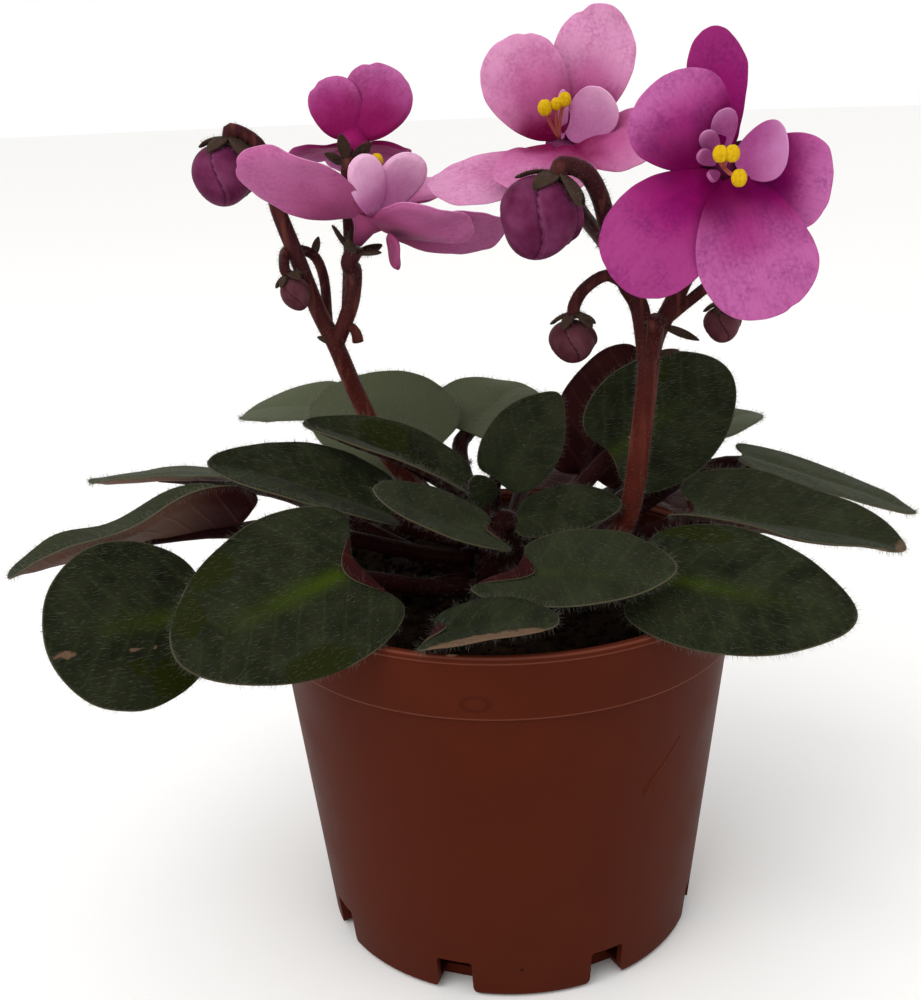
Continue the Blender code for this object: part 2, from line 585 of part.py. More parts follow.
def leaf(name, row, parts, finish):
    """One leaf: the blade joined to its stalk, which runs on under the blade as the midrib."""
    base, tip, face, width, arch, wings, lobe, root_height = row
    blade = Blade(
        Vector(base) * MM, Vector(tip) * MM, face, width * MM, arch, wings, lobe=lobe,
        **{"point": 0.12, "waist": -0.1, **LEAF_SHAPE.get(name, {})},
    )
    plate = blade_object(blade, BLADE_THICKNESS, BLADE_SIDES, BLADE_RINGS, parts)
    angle = math.atan2(base[1], base[0]) + math.radians(STALK_TURN.get(name, 0.0))
    outward = Vector((math.cos(angle), math.sin(angle), 0.0))
    size = LEAF_STALK_RADIUS * min(1.0, 0.4 + width / 25)
    height = root_height * MM
    root = outward * (crown_radius(height - size) + SEAT) + Vector((0.0, 0.0, height))
    joint = blade.surface(0.0, 0.0, -size - MIDRIB_DEPTH)
    reach = (joint - root).length
    approach = blade.along + blade.normal * STALK_DIP.get(name, 0.0)
    path = hermite(root, outward * reach * 0.8, joint, approach * reach * 0.8, 6)
    for point in path:
        beyond = (point.xy.length - POT_RIM_RADIUS + POT_WALL) / RIM_CLEARANCE_SPAN
        clear = POT_HEIGHT + SEAT + size * 1.15 - beyond**2 * RIM_CLEARANCE_DROP
        point.z = max(point.z, clear) if abs(beyond) < 1.0 else point.z
    girth = STALK_GIRTH.get(name, 1.0)
    radii = [size * (girth + (1 - girth) * i / (len(path) - 1)) for i in range(len(path))]
    for step in (0.3, 0.65, 1.0):
        share = step * MIDRIB_REACH
        radius = size + (MIDRIB_TIP_RADIUS - size) * step
        path.append(blade.surface(share * blade.length, 0.0, -radius - MIDRIB_DEPTH))
        radii.append(radius)
    stalk = tube(path, radii, parts)
    return union("leaf_" + name, [plate, stalk], parts, finish)


def sepal(base, tip, face, width, arch, collection):
    """One sepal or bract: a small pointed blade whose upper face looks away from the flower."""
    blade = Blade(base, tip, face, width, arch, point=0.55)
    return blade_object(blade, SEPAL_THICKNESS, SEPAL_SIDES, 1, collection)


def ring_direction(axis, turn):
    """A direction across axis, turned about it (degrees)."""
    start = axis.cross(Vector((1.0, 0.0, 0.0)))
    if start.length < 0.1:
        start = axis.cross(Vector((0.0, 1.0, 0.0)))
    return Matrix.Rotation(math.radians(turn), 3, axis) @ start.normalized()


def flower_sepals(row, collection):
    """The sepals that stand behind an open flower's petals."""
    start, end = (Vector(point) * MM for point in row["throat"])
    count, length, spread, turn = row["sepals"]
    axis = (end - start).normalized()
    made = []
    for number in range(count):
        out = ring_direction(axis, turn + 360 * number / count)
        lean = math.radians(spread)
        way = axis * math.cos(lean) + out * math.sin(lean)
        face = out * math.cos(lean) - axis * math.sin(lean)
        foot = start - axis * (SEAT + SEPAL_THICKNESS + SEPAL_DROP) + out * RECEPTACLE_RADIUS * 0.4
        tip = foot + way * (length * MM - number * SEPAL_STEP)
        made.append(sepal(foot, tip, face, SEPAL_WIDTH * (1 + 0.05 * number), 15, collection))
    return made


def bud_sepals(row, collection):
    """The sepals that hold a bud, each on an arc round it, clear of it by a seat."""
    middle, way, radius, length = row
    centre, axis = Vector(middle) * MM, Vector(way).normalized()
    around = bud_reach(row)
    made = []
    for number in range(5):
        out = ring_direction(axis, 30 + 72 * number)
        foot, tip = (
            centre + (out * math.sin(turn) - axis * math.cos(turn)) * (around + number * SEPAL_STEP)
            for turn in (math.radians(3), math.radians(58))
        )
        width = max(1.1 * MM, around * 0.45) * (1 + 0.06 * number)
        made.append(sepal(foot, tip, foot + tip - centre * 2, width, 52, collection))
    return made


def bud_reach(row):
    """How far a bud's sepals stand from its middle."""
    return max(row[2] * BUD_SWELL, row[3] / 2) * MM + SEAT + SEPAL_THICKNESS


def stem_end(name):
    """The last two points of the stem that carries this flower or bud."""
    if name in FLOWERS:
        start, end = (Vector(point) * MM for point in FLOWERS[name]["throat"])
        axis = (end - start).normalized()
        return [start - axis * 2.6 * MM, start - axis * SEAT]
    centre, axis = Vector(BUDS[name][0]) * MM, Vector(BUDS[name][1]).normalized()
    far = bud_reach(BUDS[name]) + 0.9 * MM
    near = BUDS[name][3] / 2 * MM + SEAT
    return [centre - axis * far, centre - axis * near]


def stalk(name, row, parts, finish):
    """A flower stalk in one piece: the main stem, its branches, the sepals at their ends and its bracts."""
    pieces = []
    angle, height = math.radians(row["root"][0]), row["root"][1] * MM
    for number, (points, first, last, end) in enumerate(row["stems"]):
        path = [Vector(point) * MM for point in points]
        if end is not None:
            path += stem_end(end)
        if number == 0:
            outward = Vector((math.cos(angle), math.sin(angle), 0.0))
            root = outward * (crown_radius(height - first * MM) + SEAT) + Vector((0.0, 0.0, height))
            path = [root, root + outward * 1.5 * MM, *path]
        path = smooth_path(path, 2)
        radii = [(first + (last - first) * i / (len(path) - 1)) * MM for i in range(len(path))]
        pieces.append(tube(path, radii, parts, 2 if number == 0 else 1))
    for foot, tip, width in row["bracts"]:
        foot, tip = Vector(foot) * MM, Vector(tip) * MM
        pieces.append(sepal(foot, tip, Vector((0.0, -1.0, 0.4)), width * MM, 20, parts))
    for *_, end in row["stems"]:
        if end in FLOWERS:
            pieces += flower_sepals(FLOWERS[end], parts)
        elif end in BUDS:
            pieces += bud_sepals(BUDS[end], parts)
    return union(name, pieces, parts, finish)


def corolla(name, row, parts, finish):
    """An open flower's corolla: a short throat with its five petals and the pale lobes inside them."""
    start, end = (Vector(point) * MM for point in row["throat"])
    axis = (end - start).normalized()
    path = [start, start.lerp(end, 0.5), end]
    pieces = [tube(path, [THROAT_RADIUS * r for r in row.get("cup", (0.65, 0.8, 1.1))], parts, 2)]
    for number, (base, tip, face, width, arch) in enumerate(row["petals"] + row["lobes"]):
        inner = number >= len(row["petals"])
        blade = Blade(
            Vector(base) * MM, Vector(tip) * MM, face, width * MM, arch, point=0.0, waist=0.22,
            wave=0.0 if inner else PETAL_WAVE, waves=4, wave_start=number,
        )
        sides, rings = (PETAL_SIDES - 4, 1) if inner else (PETAL_SIDES, 2)
        pieces.append(blade_object(blade, PETAL_THICKNESS, sides, rings, parts))
    return union(name, pieces, parts, finish)


def anthers(name, row, parts, finish):
    """A flower's yellow anthers, joined by their filaments just above the throat."""
    foot, heads = row["anthers"]
    foot = Vector(foot) * MM
    pieces = []
    for x, y, z, radius in heads:
        middle = Vector((x, y, z)) * MM
        bm = bmesh.new()
        bmesh.ops.create_uvsphere(bm, u_segments=7, v_segments=5, radius=radius * MM)
        bmesh.ops.scale(bm, verts=bm.verts, vec=(1.0, 0.8, 1.15))
        bmesh.ops.translate(bm, verts=bm.verts, vec=middle)
        mesh = bpy.data.meshes.new("piece")
        bm.to_mesh(mesh)
        bm.free()
        pieces.append(new_object("piece", mesh, parts))
        bow = (foot + middle) / 2 + (middle - foot).cross(Vector((0.0, 0.0, 1.0))) * 0.08
        path = [foot, bow, middle]
        pieces.append(tube(path, [0.38 * MM] * len(path), parts, 0))
    return union(name, pieces, parts, finish)


def bud(name, row, parts, finish):
    """A closed bud: an egg whose petals overlap in a slow spiral."""
    middle, way, radius, length = row
    axis = Vector(way).normalized()
    segments, rings = (15, 8) if radius > 3.5 else (10, 6)
    bm = bmesh.new()
    bmesh.ops.create_uvsphere(bm, u_segments=segments, v_segments=rings, radius=1.0)
    for vert in bm.verts:
        turn = math.atan2(vert.co.y, vert.co.x) / math.tau * 5 + vert.co.z * 0.35
        fold = 1 + BUD_FOLD * ((turn % 1.0) - 0.6)
        vert.co.x *= radius * MM * fold * (1 - 0.12 * vert.co.z)
        vert.co.y *= radius * MM * fold * (1 - 0.12 * vert.co.z)
        vert.co.z *= length / 2 * MM
    turned = Vector((0.0, 0.0, 1.0)).rotation_difference(axis).to_matrix().to_4x4()
    bmesh.ops.transform(bm, matrix=Matrix.Translation(Vector(middle) * MM) @ turned, verts=bm.verts)
    mesh = bpy.data.meshes.new(name)
    bm.to_mesh(mesh)
    bm.free()
    return new_object(name, mesh, parts, finish)


def clear_scene():
    """Removes every object that the file opened with."""
    for obj in list(bpy.data.objects):
        bpy.data.objects.remove(obj)


def main():
    clear_scene()
    parts = bpy.data.collections.new("african_violet")
    cutters = bpy.data.collections.new("cutters")
    for group in (parts, cutters):
        bpy.context.scene.collection.children.link(group)
    pot(parts, cutters, material("pot_plastic", (0.42, 0.17, 0.11), 0.45))
    soil(parts, material("soil", (0.13, 0.10, 0.08), 0.95))
    stem_green = material("crown_green", (0.33, 0.20, 0.18), 0.7)
    crown(parts, stem_green)
    leaf_green = material("leaf_green", (0.23, 0.28, 0.19), 0.75)
    for name, row in LEAVES.items():
        leaf(name, row, parts, leaf_green)
    stalk_maroon = material("stalk_maroon", (0.30, 0.12, 0.12), 0.6)
    for name, row in STALKS.items():
        stalk(name, row, parts, stalk_maroon)
    petal_pink = material("petal_pink", (0.72, 0.30, 0.56), 0.55)
    anther_yellow = material("anther_yellow", (0.85, 0.68, 0.10), 0.5)
    for name, row in FLOWERS.items():
        corolla("corolla_" + name, row, parts, petal_pink)
        anthers("anthers_" + name, row, parts, anther_yellow)
    bud_plum = material("bud_plum", (0.38, 0.17, 0.27), 0.55)
    for name, row in BUDS.items():
        bud(name, row, parts, bud_plum)


main()
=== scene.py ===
# %% [markdown]
# # A potted miniature African violet
# The plant is a rosette of hairy leaves round a short crown, with two flower stalks, four open flowers
# and a few buds, in a small moulded nursery pot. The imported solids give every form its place. This
# lesson replaces them with finer pieces of the same form, and then gives each its finish and its hairs.

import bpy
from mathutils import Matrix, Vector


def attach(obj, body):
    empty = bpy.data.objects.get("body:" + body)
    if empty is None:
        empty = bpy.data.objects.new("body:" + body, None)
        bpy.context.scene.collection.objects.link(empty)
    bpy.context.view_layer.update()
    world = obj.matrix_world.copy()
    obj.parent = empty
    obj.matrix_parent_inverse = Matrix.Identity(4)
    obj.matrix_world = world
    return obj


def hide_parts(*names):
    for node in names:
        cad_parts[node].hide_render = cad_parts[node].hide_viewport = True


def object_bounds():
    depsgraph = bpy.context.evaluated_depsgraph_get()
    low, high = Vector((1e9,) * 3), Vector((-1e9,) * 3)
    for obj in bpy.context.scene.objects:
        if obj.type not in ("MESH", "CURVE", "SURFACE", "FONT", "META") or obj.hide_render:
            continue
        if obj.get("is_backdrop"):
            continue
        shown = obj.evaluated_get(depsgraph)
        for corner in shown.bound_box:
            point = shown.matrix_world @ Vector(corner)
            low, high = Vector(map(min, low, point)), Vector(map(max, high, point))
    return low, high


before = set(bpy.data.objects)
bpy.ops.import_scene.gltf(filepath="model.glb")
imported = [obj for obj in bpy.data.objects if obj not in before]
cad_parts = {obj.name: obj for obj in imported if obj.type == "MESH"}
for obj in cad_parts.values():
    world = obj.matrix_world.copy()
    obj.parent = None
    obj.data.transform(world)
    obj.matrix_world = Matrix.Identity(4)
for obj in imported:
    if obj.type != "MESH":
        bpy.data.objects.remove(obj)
cad_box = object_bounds()
print(len(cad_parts), "solids in the frame")

# %% [markdown]
# ## The camera
# The photograph looks slightly down on the plant from close by, and it leans a little. A camera is
# aimed here by its three own directions, because yaw, pitch and roll then read as they were measured.

# %% The camera
import math

import bpy
from mathutils import Matrix, Vector, noise

MM = 0.001
EYE = Vector((0.0, -165.0, 111.8)) * MM
YAW, PITCH, ROLL = -0.0321, 0.315, -0.0363
LENS = 47.74

ahead = Vector((math.sin(YAW) * math.cos(PITCH), math.cos(YAW) * math.cos(PITCH), -math.sin(PITCH)))
level = Vector((math.cos(YAW), -math.sin(YAW), 0.0))
upright = level.cross(ahead)
right = level * math.cos(ROLL) + upright * math.sin(ROLL)
up = upright * math.cos(ROLL) - level * math.sin(ROLL)
bpy.ops.object.camera_add(location=EYE, rotation=Matrix((right, up, -ahead)).transposed().to_euler())
camera = bpy.context.object
camera.data.lens = LENS
camera.data.clip_start = 0.01
scene = bpy.context.scene
scene.camera = camera
print("camera", [round(value, 4) for value in camera.rotation_euler])

# %% [markdown]
# ## Colours and nodes
# A colour picker gives sRGB numbers, and a shader works in linear light, so one function turns the
# first into the second. One more adds a node with its settings and its links, and a third lays colours
# over each other. Every material below is made with these.

# %% Colours and nodes


def colour(code):
    """The linear colour of an sRGB hex value."""
    parts = [int(code[i:i + 2], 16) / 255 for i in (1, 3, 5)]
    return (*(c / 12.92 if c <= 0.04045 else ((c + 0.055) / 1.055) ** 2.4 for c in parts), 1.0)


def add_node(material, kind, inputs=None, out=0, **settings):
    """Adds a node, sets its options and inputs, and returns one of its outputs.

    An input is named by its identifier, and takes a value or another node's output.
    """
    tree = material.node_tree
    made = tree.nodes[kind] if kind == "Principled BSDF" else tree.nodes.new("ShaderNode" + kind)
    for name, value in settings.items():
        setattr(made, name, value)
    sockets = {socket.identifier: socket for socket in made.inputs}
    for name, value in (inputs or {}).items():
        if isinstance(value, bpy.types.NodeSocket):
            tree.links.new(value, sockets[name])
        else:
            sockets[name].default_value = value
    return next(socket for number, socket in enumerate(made.outputs) if out in (number, socket.identifier))


def layered(material, tone, *layers):
    """Lays colours over a tone, each by its own share. A colour is a hex value or a node's output."""
    tone = colour(tone) if isinstance(tone, str) else tone
    for share, tint in layers:
        tint = colour(tint) if isinstance(tint, str) else tint
        mixed = {"Factor_Float": share, "A_Color": tone, "B_Color": tint}
        tone = add_node(material, "Mix", mixed, out="Result_Color", data_type="RGBA")
    return tone


def new_material(name):
    """A material that starts as one Principled shader.

    The photograph's room is dim in front of the plant, so every surface mirrors less than usual.
    """
    made = bpy.data.materials.new(name)
    made.use_nodes = True
    made.node_tree.nodes["Principled BSDF"].inputs["Specular IOR Level"].default_value = 0.04
    return made


# %% [markdown]
# ## The floor and the light
# The photograph has a plain white ground and very soft light from all round. A white world gives the
# soft part, and one wide lamp above the camera's left shoulder gives the forms a lit and a shaded side.

# %% The floor and the light
scene.view_settings.view_transform = "Standard"
world = bpy.data.worlds.new("studio")
world.use_nodes = True
world.node_tree.nodes["Background"].inputs["Color"].default_value = (1.0, 1.0, 1.0, 1.0)
world.node_tree.nodes["Background"].inputs["Strength"].default_value = 1.0
scene.world = world

bpy.ops.object.light_add(type="AREA", location=(-0.35, -0.45, 0.65))
lamp = bpy.context.object
lamp.rotation_euler = (Vector((0.0, 0.0, 0.06)) - lamp.location).to_track_quat("-Z", "Y").to_euler()
lamp.data.size = 0.6
lamp.data.energy = 3.0

bpy.ops.mesh.primitive_circle_add(vertices=96, radius=3.0, fill_type="NGON", location=(0, 0, -0.0002))
floor = bpy.context.object
floor.name = "floor"
floor_paint = new_material("floor_matt_paint")
floor_grain = add_node(floor_paint, "TexNoise", {"Scale": 3.0})
floor_tone = layered(floor_paint, "#f6f5f3", (floor_grain, "#fbfaf8"))
add_node(floor_paint, "Principled BSDF", {"Base Color": floor_tone, "Roughness": 0.9})
floor.data.materials.append(floor_paint)
floor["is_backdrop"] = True
print("floor and lamp are in")

# %% [markdown]
# ## Working by hand in code
# The operators act on what is selected, and the loaded solids are all selected. So each step first
# picks its own piece. These few helpers keep that short: one picks a piece, one opens it in edit mode,
# one adds a modifier and applies it, one copies a piece with its own mesh, and one joins several.

# %% Helpers for selecting, editing and applying
from contextlib import contextmanager

import numpy as np


def pick(*pieces):
    """Selects these pieces alone. The first is the active one."""
    bpy.ops.object.select_all(action="DESELECT")
    for piece in pieces:
        piece.select_set(True)
    bpy.context.view_layer.objects.active = pieces[0]


@contextmanager
def editing(piece, select="FACE"):
    """Opens one piece in edit mode, with all of it selected."""
    pick(piece)
    bpy.ops.object.mode_set(mode="EDIT")
    bpy.ops.mesh.select_mode(type=select)
    bpy.ops.mesh.select_all(action="SELECT")
    yield
    bpy.ops.object.mode_set(mode="OBJECT")


def apply_modifier(piece, kind, **settings):
    """Adds a modifier to a piece and applies it."""
    modifier = piece.modifiers.new(kind, kind)
    for name, value in settings.items():
        setattr(modifier, name, value)
    pick(piece)
    bpy.ops.object.modifier_apply(modifier=modifier.name)


def copy_of(piece):
    """A copy of a piece, with its own mesh."""
    made = piece.copy()
    made.data = piece.data.copy()
    scene.collection.objects.link(made)
    return made


def set_attribute(piece, name, kind, values):
    """Gives each point of a piece a value of its own, which its finish can read by this name."""
    field = "vector" if kind == "FLOAT_VECTOR" else "value"
    made = piece.data.attributes.new(name, kind, "POINT")
    made.data.foreach_set(field, np.asarray(values, np.float32).ravel())


def joined(pieces):
    """Joins pieces into the first of them."""
    pick(*pieces)
    if len(pieces) > 1:
        bpy.ops.object.join()
    return pieces[0]


def finish_piece(piece, name, slot, *nodes, smooth=True):
    """Puts a piece's place into its mesh, names it, and ties it to the frame."""
    pick(piece)
    bpy.ops.object.transform_apply(location=True, rotation=True, scale=True)
    if smooth:
        bpy.ops.object.shade_smooth()
    piece.name = name
    piece.data.name = name
    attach(piece, "root")
    if nodes:
        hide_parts(*nodes)
    piece.data.calc_loop_triangles()


# %% [markdown]
# ## The pot
# The real pot is thin polypropylene, moulded in one shot: a tapered cup with a collar and drain notches
# round its foot. It could be cut out of a solid, but a turned shell is the same form with far fewer
# steps. So a circle is extruded and resized along the profile, from the floor inside, over the lip and
# down to the foot, and the notches are cut with one Boolean.

# %% The pot's sizes
POT_RIM_RADIUS = 31.0 * MM
POT_HEIGHT = 49.7 * MM
COLLAR_BOTTOM = 41.4 * MM
COLLAR_STEP = 0.7 * MM
COLLAR_FOOT_RADIUS = 30.4 * MM
POT_FOOT_RADIUS = 25.1 * MM
POT_WALL = 1.1 * MM
POT_FLOOR = 1.4 * MM
RIM_ROUNDING = 0.5 * MM
FOOT_ROUNDING = 0.7 * MM
COLLAR_ROUNDING = 0.45 * MM
LIP_HEIGHT = 0.95 * MM
LIP_STEP = 0.2 * MM
NOTCH_COUNT = 8
NOTCH_FIRST_ANGLE = math.radians(-17)
NOTCH_WIDTH = 4.6 * MM
NOTCH_HEIGHT = 5.0 * MM
NOTCH_FLARE = 1.2 * MM
NOTCH_DEPTH = 5.0 * MM
NOTCH_CORNER = 0.3 * MM


def arc(corner, radius, start, stop, steps):
    """Points of an arc about corner, from start to stop in degrees."""
    turns = [math.radians(start + (stop - start) * i / steps) for i in range(steps + 1)]
    return [(corner[0] + radius * math.cos(t), corner[1] + radius * math.sin(t)) for t in turns]


def inner_radius(height):
    """The pot's inner radius, which is straight from the floor to the rim."""
    top = POT_RIM_RADIUS - 2 * RIM_ROUNDING - POT_WALL * 0.5
    foot = POT_FOOT_RADIUS - POT_WALL
    return foot + (top - foot) * height / POT_HEIGHT


def turned(profile, sides):
    """A circle, extruded and resized from each (radius, height) of the profile to the next."""
    bpy.ops.mesh.primitive_circle_add(vertices=sides, radius=profile[0][0], location=(0, 0, profile[0][1]))
    piece = bpy.context.object
    with editing(piece, "EDGE"):
        for (radius, height), (wider, higher) in zip(profile, profile[1:]):
            bpy.ops.mesh.extrude_region_move(TRANSFORM_OT_translate={"value": (0, 0, higher - height)})
            factor = wider / radius
            bpy.ops.transform.resize(value=(factor, factor, 1.0), center_override=(0, 0, higher))
    return piece


def close_ends(piece):
    """Closes the two open ends of a turned shell, each with one face."""
    with editing(piece, "EDGE"):
        bpy.ops.mesh.select_all(action="DESELECT")
        bpy.ops.mesh.select_non_manifold(extend=False)
        bpy.ops.mesh.edge_face_add()
        bpy.ops.mesh.select_all(action="SELECT")
        bpy.ops.mesh.normals_make_consistent(inside=False)


# %% Turn the shell and close it
wall_top = COLLAR_FOOT_RADIUS - COLLAR_STEP
collar_corner = (COLLAR_FOOT_RADIUS - COLLAR_ROUNDING, COLLAR_BOTTOM + COLLAR_ROUNDING)
profile = [
    (inner_radius(POT_FLOOR), POT_FLOOR),
    (inner_radius(POT_HEIGHT * 0.5), POT_HEIGHT * 0.5),
    (inner_radius(POT_HEIGHT - RIM_ROUNDING), POT_HEIGHT - RIM_ROUNDING),
    *arc((POT_RIM_RADIUS - RIM_ROUNDING, POT_HEIGHT - RIM_ROUNDING), RIM_ROUNDING, 100, 0, 6),
    (POT_RIM_RADIUS, POT_HEIGHT - LIP_HEIGHT),
    (POT_RIM_RADIUS - LIP_STEP, POT_HEIGHT - LIP_HEIGHT - LIP_STEP * 0.75),
    *arc(collar_corner, COLLAR_ROUNDING, 0, -80, 6),
    (wall_top, COLLAR_BOTTOM - 0.2 * MM),
    *arc((POT_FOOT_RADIUS - FOOT_ROUNDING, FOOT_ROUNDING), FOOT_ROUNDING, 0, -90, 5),
    (POT_FOOT_RADIUS * 0.8, 0.0),
]
pot = turned(profile, 128)
close_ends(pot)
print("pot shell:", len(pot.data.polygons), "faces")

# %% Cut the drain notches
half, low = NOTCH_WIDTH / 2, -2 * MM
left_side = arc((-half - NOTCH_FLARE, NOTCH_FLARE), NOTCH_FLARE, -90, 0, 5)
bevel = [(-half, NOTCH_HEIGHT - NOTCH_CORNER), (-half + NOTCH_CORNER, NOTCH_HEIGHT)]
outline = [(-half - NOTCH_FLARE, low), *left_side, *bevel]
outline += [(-x, z) for x, z in reversed(outline)]
bpy.ops.mesh.primitive_circle_add(vertices=len(outline), radius=1.0, fill_type="NGON")
notch = bpy.context.object
for vert, (x, z) in zip(notch.data.vertices, outline):
    vert.co = (x, NOTCH_DEPTH / 2, z)
with editing(notch):
    bpy.ops.mesh.extrude_region_move(TRANSFORM_OT_translate={"value": (0, -NOTCH_DEPTH, 0)})
    bpy.ops.mesh.select_all(action="SELECT")
    bpy.ops.mesh.normals_make_consistent(inside=False)
cutters = [notch, *(copy_of(notch) for _ in range(NOTCH_COUNT - 1))]
for number, cutter in enumerate(cutters):
    angle = NOTCH_FIRST_ANGLE + math.tau * number / len(cutters)
    away = POT_FOOT_RADIUS - NOTCH_DEPTH / 2 + 1.5 * MM
    cutter.location = (math.sin(angle) * away, -math.cos(angle) * away, 0.0)
    cutter.rotation_euler = (0.0, 0.0, angle)
cutter = joined(cutters)
apply_modifier(pot, "BOOLEAN", object=cutter, operation="DIFFERENCE", solver="EXACT")
bpy.data.objects.remove(cutter)
pick(pot)
bpy.ops.object.shade_smooth_by_angle(angle=math.radians(35))
print("pot with notches:", len(pot.data.polygons), "faces")

# %% [markdown]
# ### Polypropylene
# Moulded polypropylene has a satin skin: it takes its colour from pigment all through, shows the white
# room only near its edges, and carries dust, faint scuffs and water marks from the greenhouse bench.

# %% The pot's finish
pot_plastic = new_material("polypropylene_moulded")
pot_place = add_node(pot_plastic, "TexCoord", out="Object")
# Cloudy pigment and handling marks, about 12 mm across
pot_cloud = add_node(
    pot_plastic, "TexNoise", {"Vector": pot_place, "Scale": 80.0, "Detail": 4.0, "Roughness": 0.6},
)
# Dust specks and grit, about one in each 4 mm
speck_cell = add_node(pot_plastic, "TexVoronoi", {"Vector": pot_place, "Scale": 260.0}, out="Distance")
speck = add_node(pot_plastic, "MapRange", {"Value": speck_cell, "From Min": 0.075, "From Max": 0.05})
speck_pick = add_node(pot_plastic, "TexNoise", {"Vector": pot_place, "Scale": 140.0, "Detail": 1.0})
speck_some = add_node(pot_plastic, "MapRange", {"Value": speck_pick, "From Min": 0.58, "From Max": 0.62})
speck_shown = add_node(pot_plastic, "Math", {"Value": speck, "Value_001": speck_some}, operation="MULTIPLY")
# Pale nicks, short and slanted, and pale grit
nick_place = add_node(
    pot_plastic, "Mapping", {"Vector": pot_place, "Rotation": (0.0, 0.6, 0.0), "Scale": (0.22, 0.5, 1.0)},
)
nick_cell = add_node(pot_plastic, "TexVoronoi", {"Vector": nick_place, "Scale": 330.0}, out="Distance")
nick = add_node(pot_plastic, "MapRange", {"Value": nick_cell, "From Min": 0.06, "From Max": 0.03})
nick_pick = add_node(pot_plastic, "TexNoise", {"Vector": pot_place, "Scale": 190.0, "Detail": 0.0})
nick_some = add_node(
    pot_plastic, "MapRange", {"Value": nick_pick, "From Min": 0.66, "From Max": 0.7, "To Max": 0.6},
)
nick_shown = add_node(pot_plastic, "Math", {"Value": nick, "Value_001": nick_some}, operation="MULTIPLY")
# The ring that a drop of hard water left on the collar, by its place and its half width and height
RING_X, RING_Z = -3.5 * MM, 43.6 * MM
RING_WIDE, RING_HIGH = 1.6 * MM, 0.9 * MM
ring_place = add_node(
    pot_plastic, "Mapping",
    {"Vector": pot_place, "Location": (-RING_X / RING_WIDE, 0.0, -RING_Z / RING_HIGH),
     "Scale": (1 / RING_WIDE, 0.0, 1 / RING_HIGH)},
)
ring_away = add_node(pot_plastic, "VectorMath", {"Vector": ring_place}, out="Value", operation="LENGTH")
ring_near = add_node(
    pot_plastic, "Math", {"Value": ring_away, "Value_001": 1.0, "Value_002": 0.22}, operation="COMPARE",
)
ring_y = add_node(pot_plastic, "SeparateXYZ", {"Vector": pot_place}, out="Y")
ring_front = add_node(pot_plastic, "Math", {"Value": ring_y, "Value_001": 0.0}, operation="LESS_THAN")
ring_both = add_node(pot_plastic, "Math", {"Value": ring_near, "Value_001": ring_front}, operation="MULTIPLY")
ring_share = add_node(pot_plastic, "Math", {"Value": ring_both, "Value_001": 0.3}, operation="MULTIPLY")
# Painted highlights on the rounded edges of the lip and the collar: paler lines of twice this height
EDGE_LINE = 0.2 * MM
pot_up = add_node(pot_plastic, "SeparateXYZ", {"Vector": pot_place}, out="Z")
edge_highlight_layers = []
for edge_height in (POT_HEIGHT - RIM_ROUNDING / 2, POT_HEIGHT - LIP_HEIGHT, COLLAR_BOTTOM + EDGE_LINE):
    edge_low, edge_high = (
        add_node(
            pot_plastic, "MapRange",
            {"Value": pot_up, "From Min": edge_height + way, "From Max": edge_height},
        )
        for way in (-EDGE_LINE, EDGE_LINE)
    )
    edge_line = add_node(
        pot_plastic, "Math", {"Value": edge_low, "Value_001": edge_high}, operation="MULTIPLY",
    )
    # Each line is painted 40 % of the way to a highlight colour, where light catches the rounded edge
    edge_highlight_share = add_node(pot_plastic, "Math", {"Value": edge_line, "Value_001": 0.4}, operation="MULTIPLY")
    edge_highlight_layers.append((edge_highlight_share, "#8a5142"))
# The layers from the pigment up: its clouds, grit, nicks, the water ring and the painted highlights on the
# edges
pot_tone = layered(
    pot_plastic, "#401508", (pot_cloud, "#4b1c0d"), (speck_shown, "#1d0d07"), (nick_shown, "#b08468"),
    (ring_share, "#2a0c06"), *edge_highlight_layers,
)
# Fine scratches run round and down the pot: the noise is stretched along the height
scratch_place = add_node(pot_plastic, "Mapping", {"Vector": pot_place, "Scale": (1.0, 1.0, 0.12)})
scratch = add_node(pot_plastic, "TexNoise", {"Vector": scratch_place, "Scale": 900.0, "Detail": 2.0})
pot_rough = add_node(
    pot_plastic, "MapRange",
    {"Value": pot_cloud, "From Min": 0.3, "From Max": 0.7, "To Min": 0.4, "To Max": 0.55},
)
pot_bump = add_node(pot_plastic, "Bump", {"Height": scratch, "Strength": 0.08, "Distance": 0.0001})
add_node(
    pot_plastic, "Principled BSDF",
    {"Base Color": pot_tone, "Roughness": pot_rough, "Normal": pot_bump, "IOR": 1.49},
)
pot.data.materials.clear()
pot.data.materials.append(pot_plastic)
finish_piece(pot, "pot_shell", "pot", "pot", smooth=False)

# %% [markdown]
# ## The soil
# Moist peat fills the pot to a little under the rim. It is dark and crumbly. A disc is inset into
# rings, displaced by noise, and strewn with crumbs. One crumb is modelled and then copied.

# %% The soil's surface
SEAT = 0.3 * MM
SOIL_TOP = 45.6 * MM
# How high the soil's lumps are, next to each other, and how wide (mm)
SOIL_LUMPS = ((0.5, 4.0), (0.35, 1.6), (0.2, 0.7))
CROWN_RADIUS = 4.0 * MM


def ring_disc(sides, widths):
    """A unit disc of rings: these are their widths, from the edge in, and the rest is a fan."""
    bpy.ops.object.select_all(action="DESELECT")
    bpy.ops.mesh.primitive_circle_add(vertices=sides, radius=1.0, fill_type="NGON")
    disc = bpy.context.object
    with editing(disc):
        for width in widths:
            bpy.ops.mesh.inset(thickness=width, use_even_offset=True)
        bpy.ops.mesh.poke()
    return disc


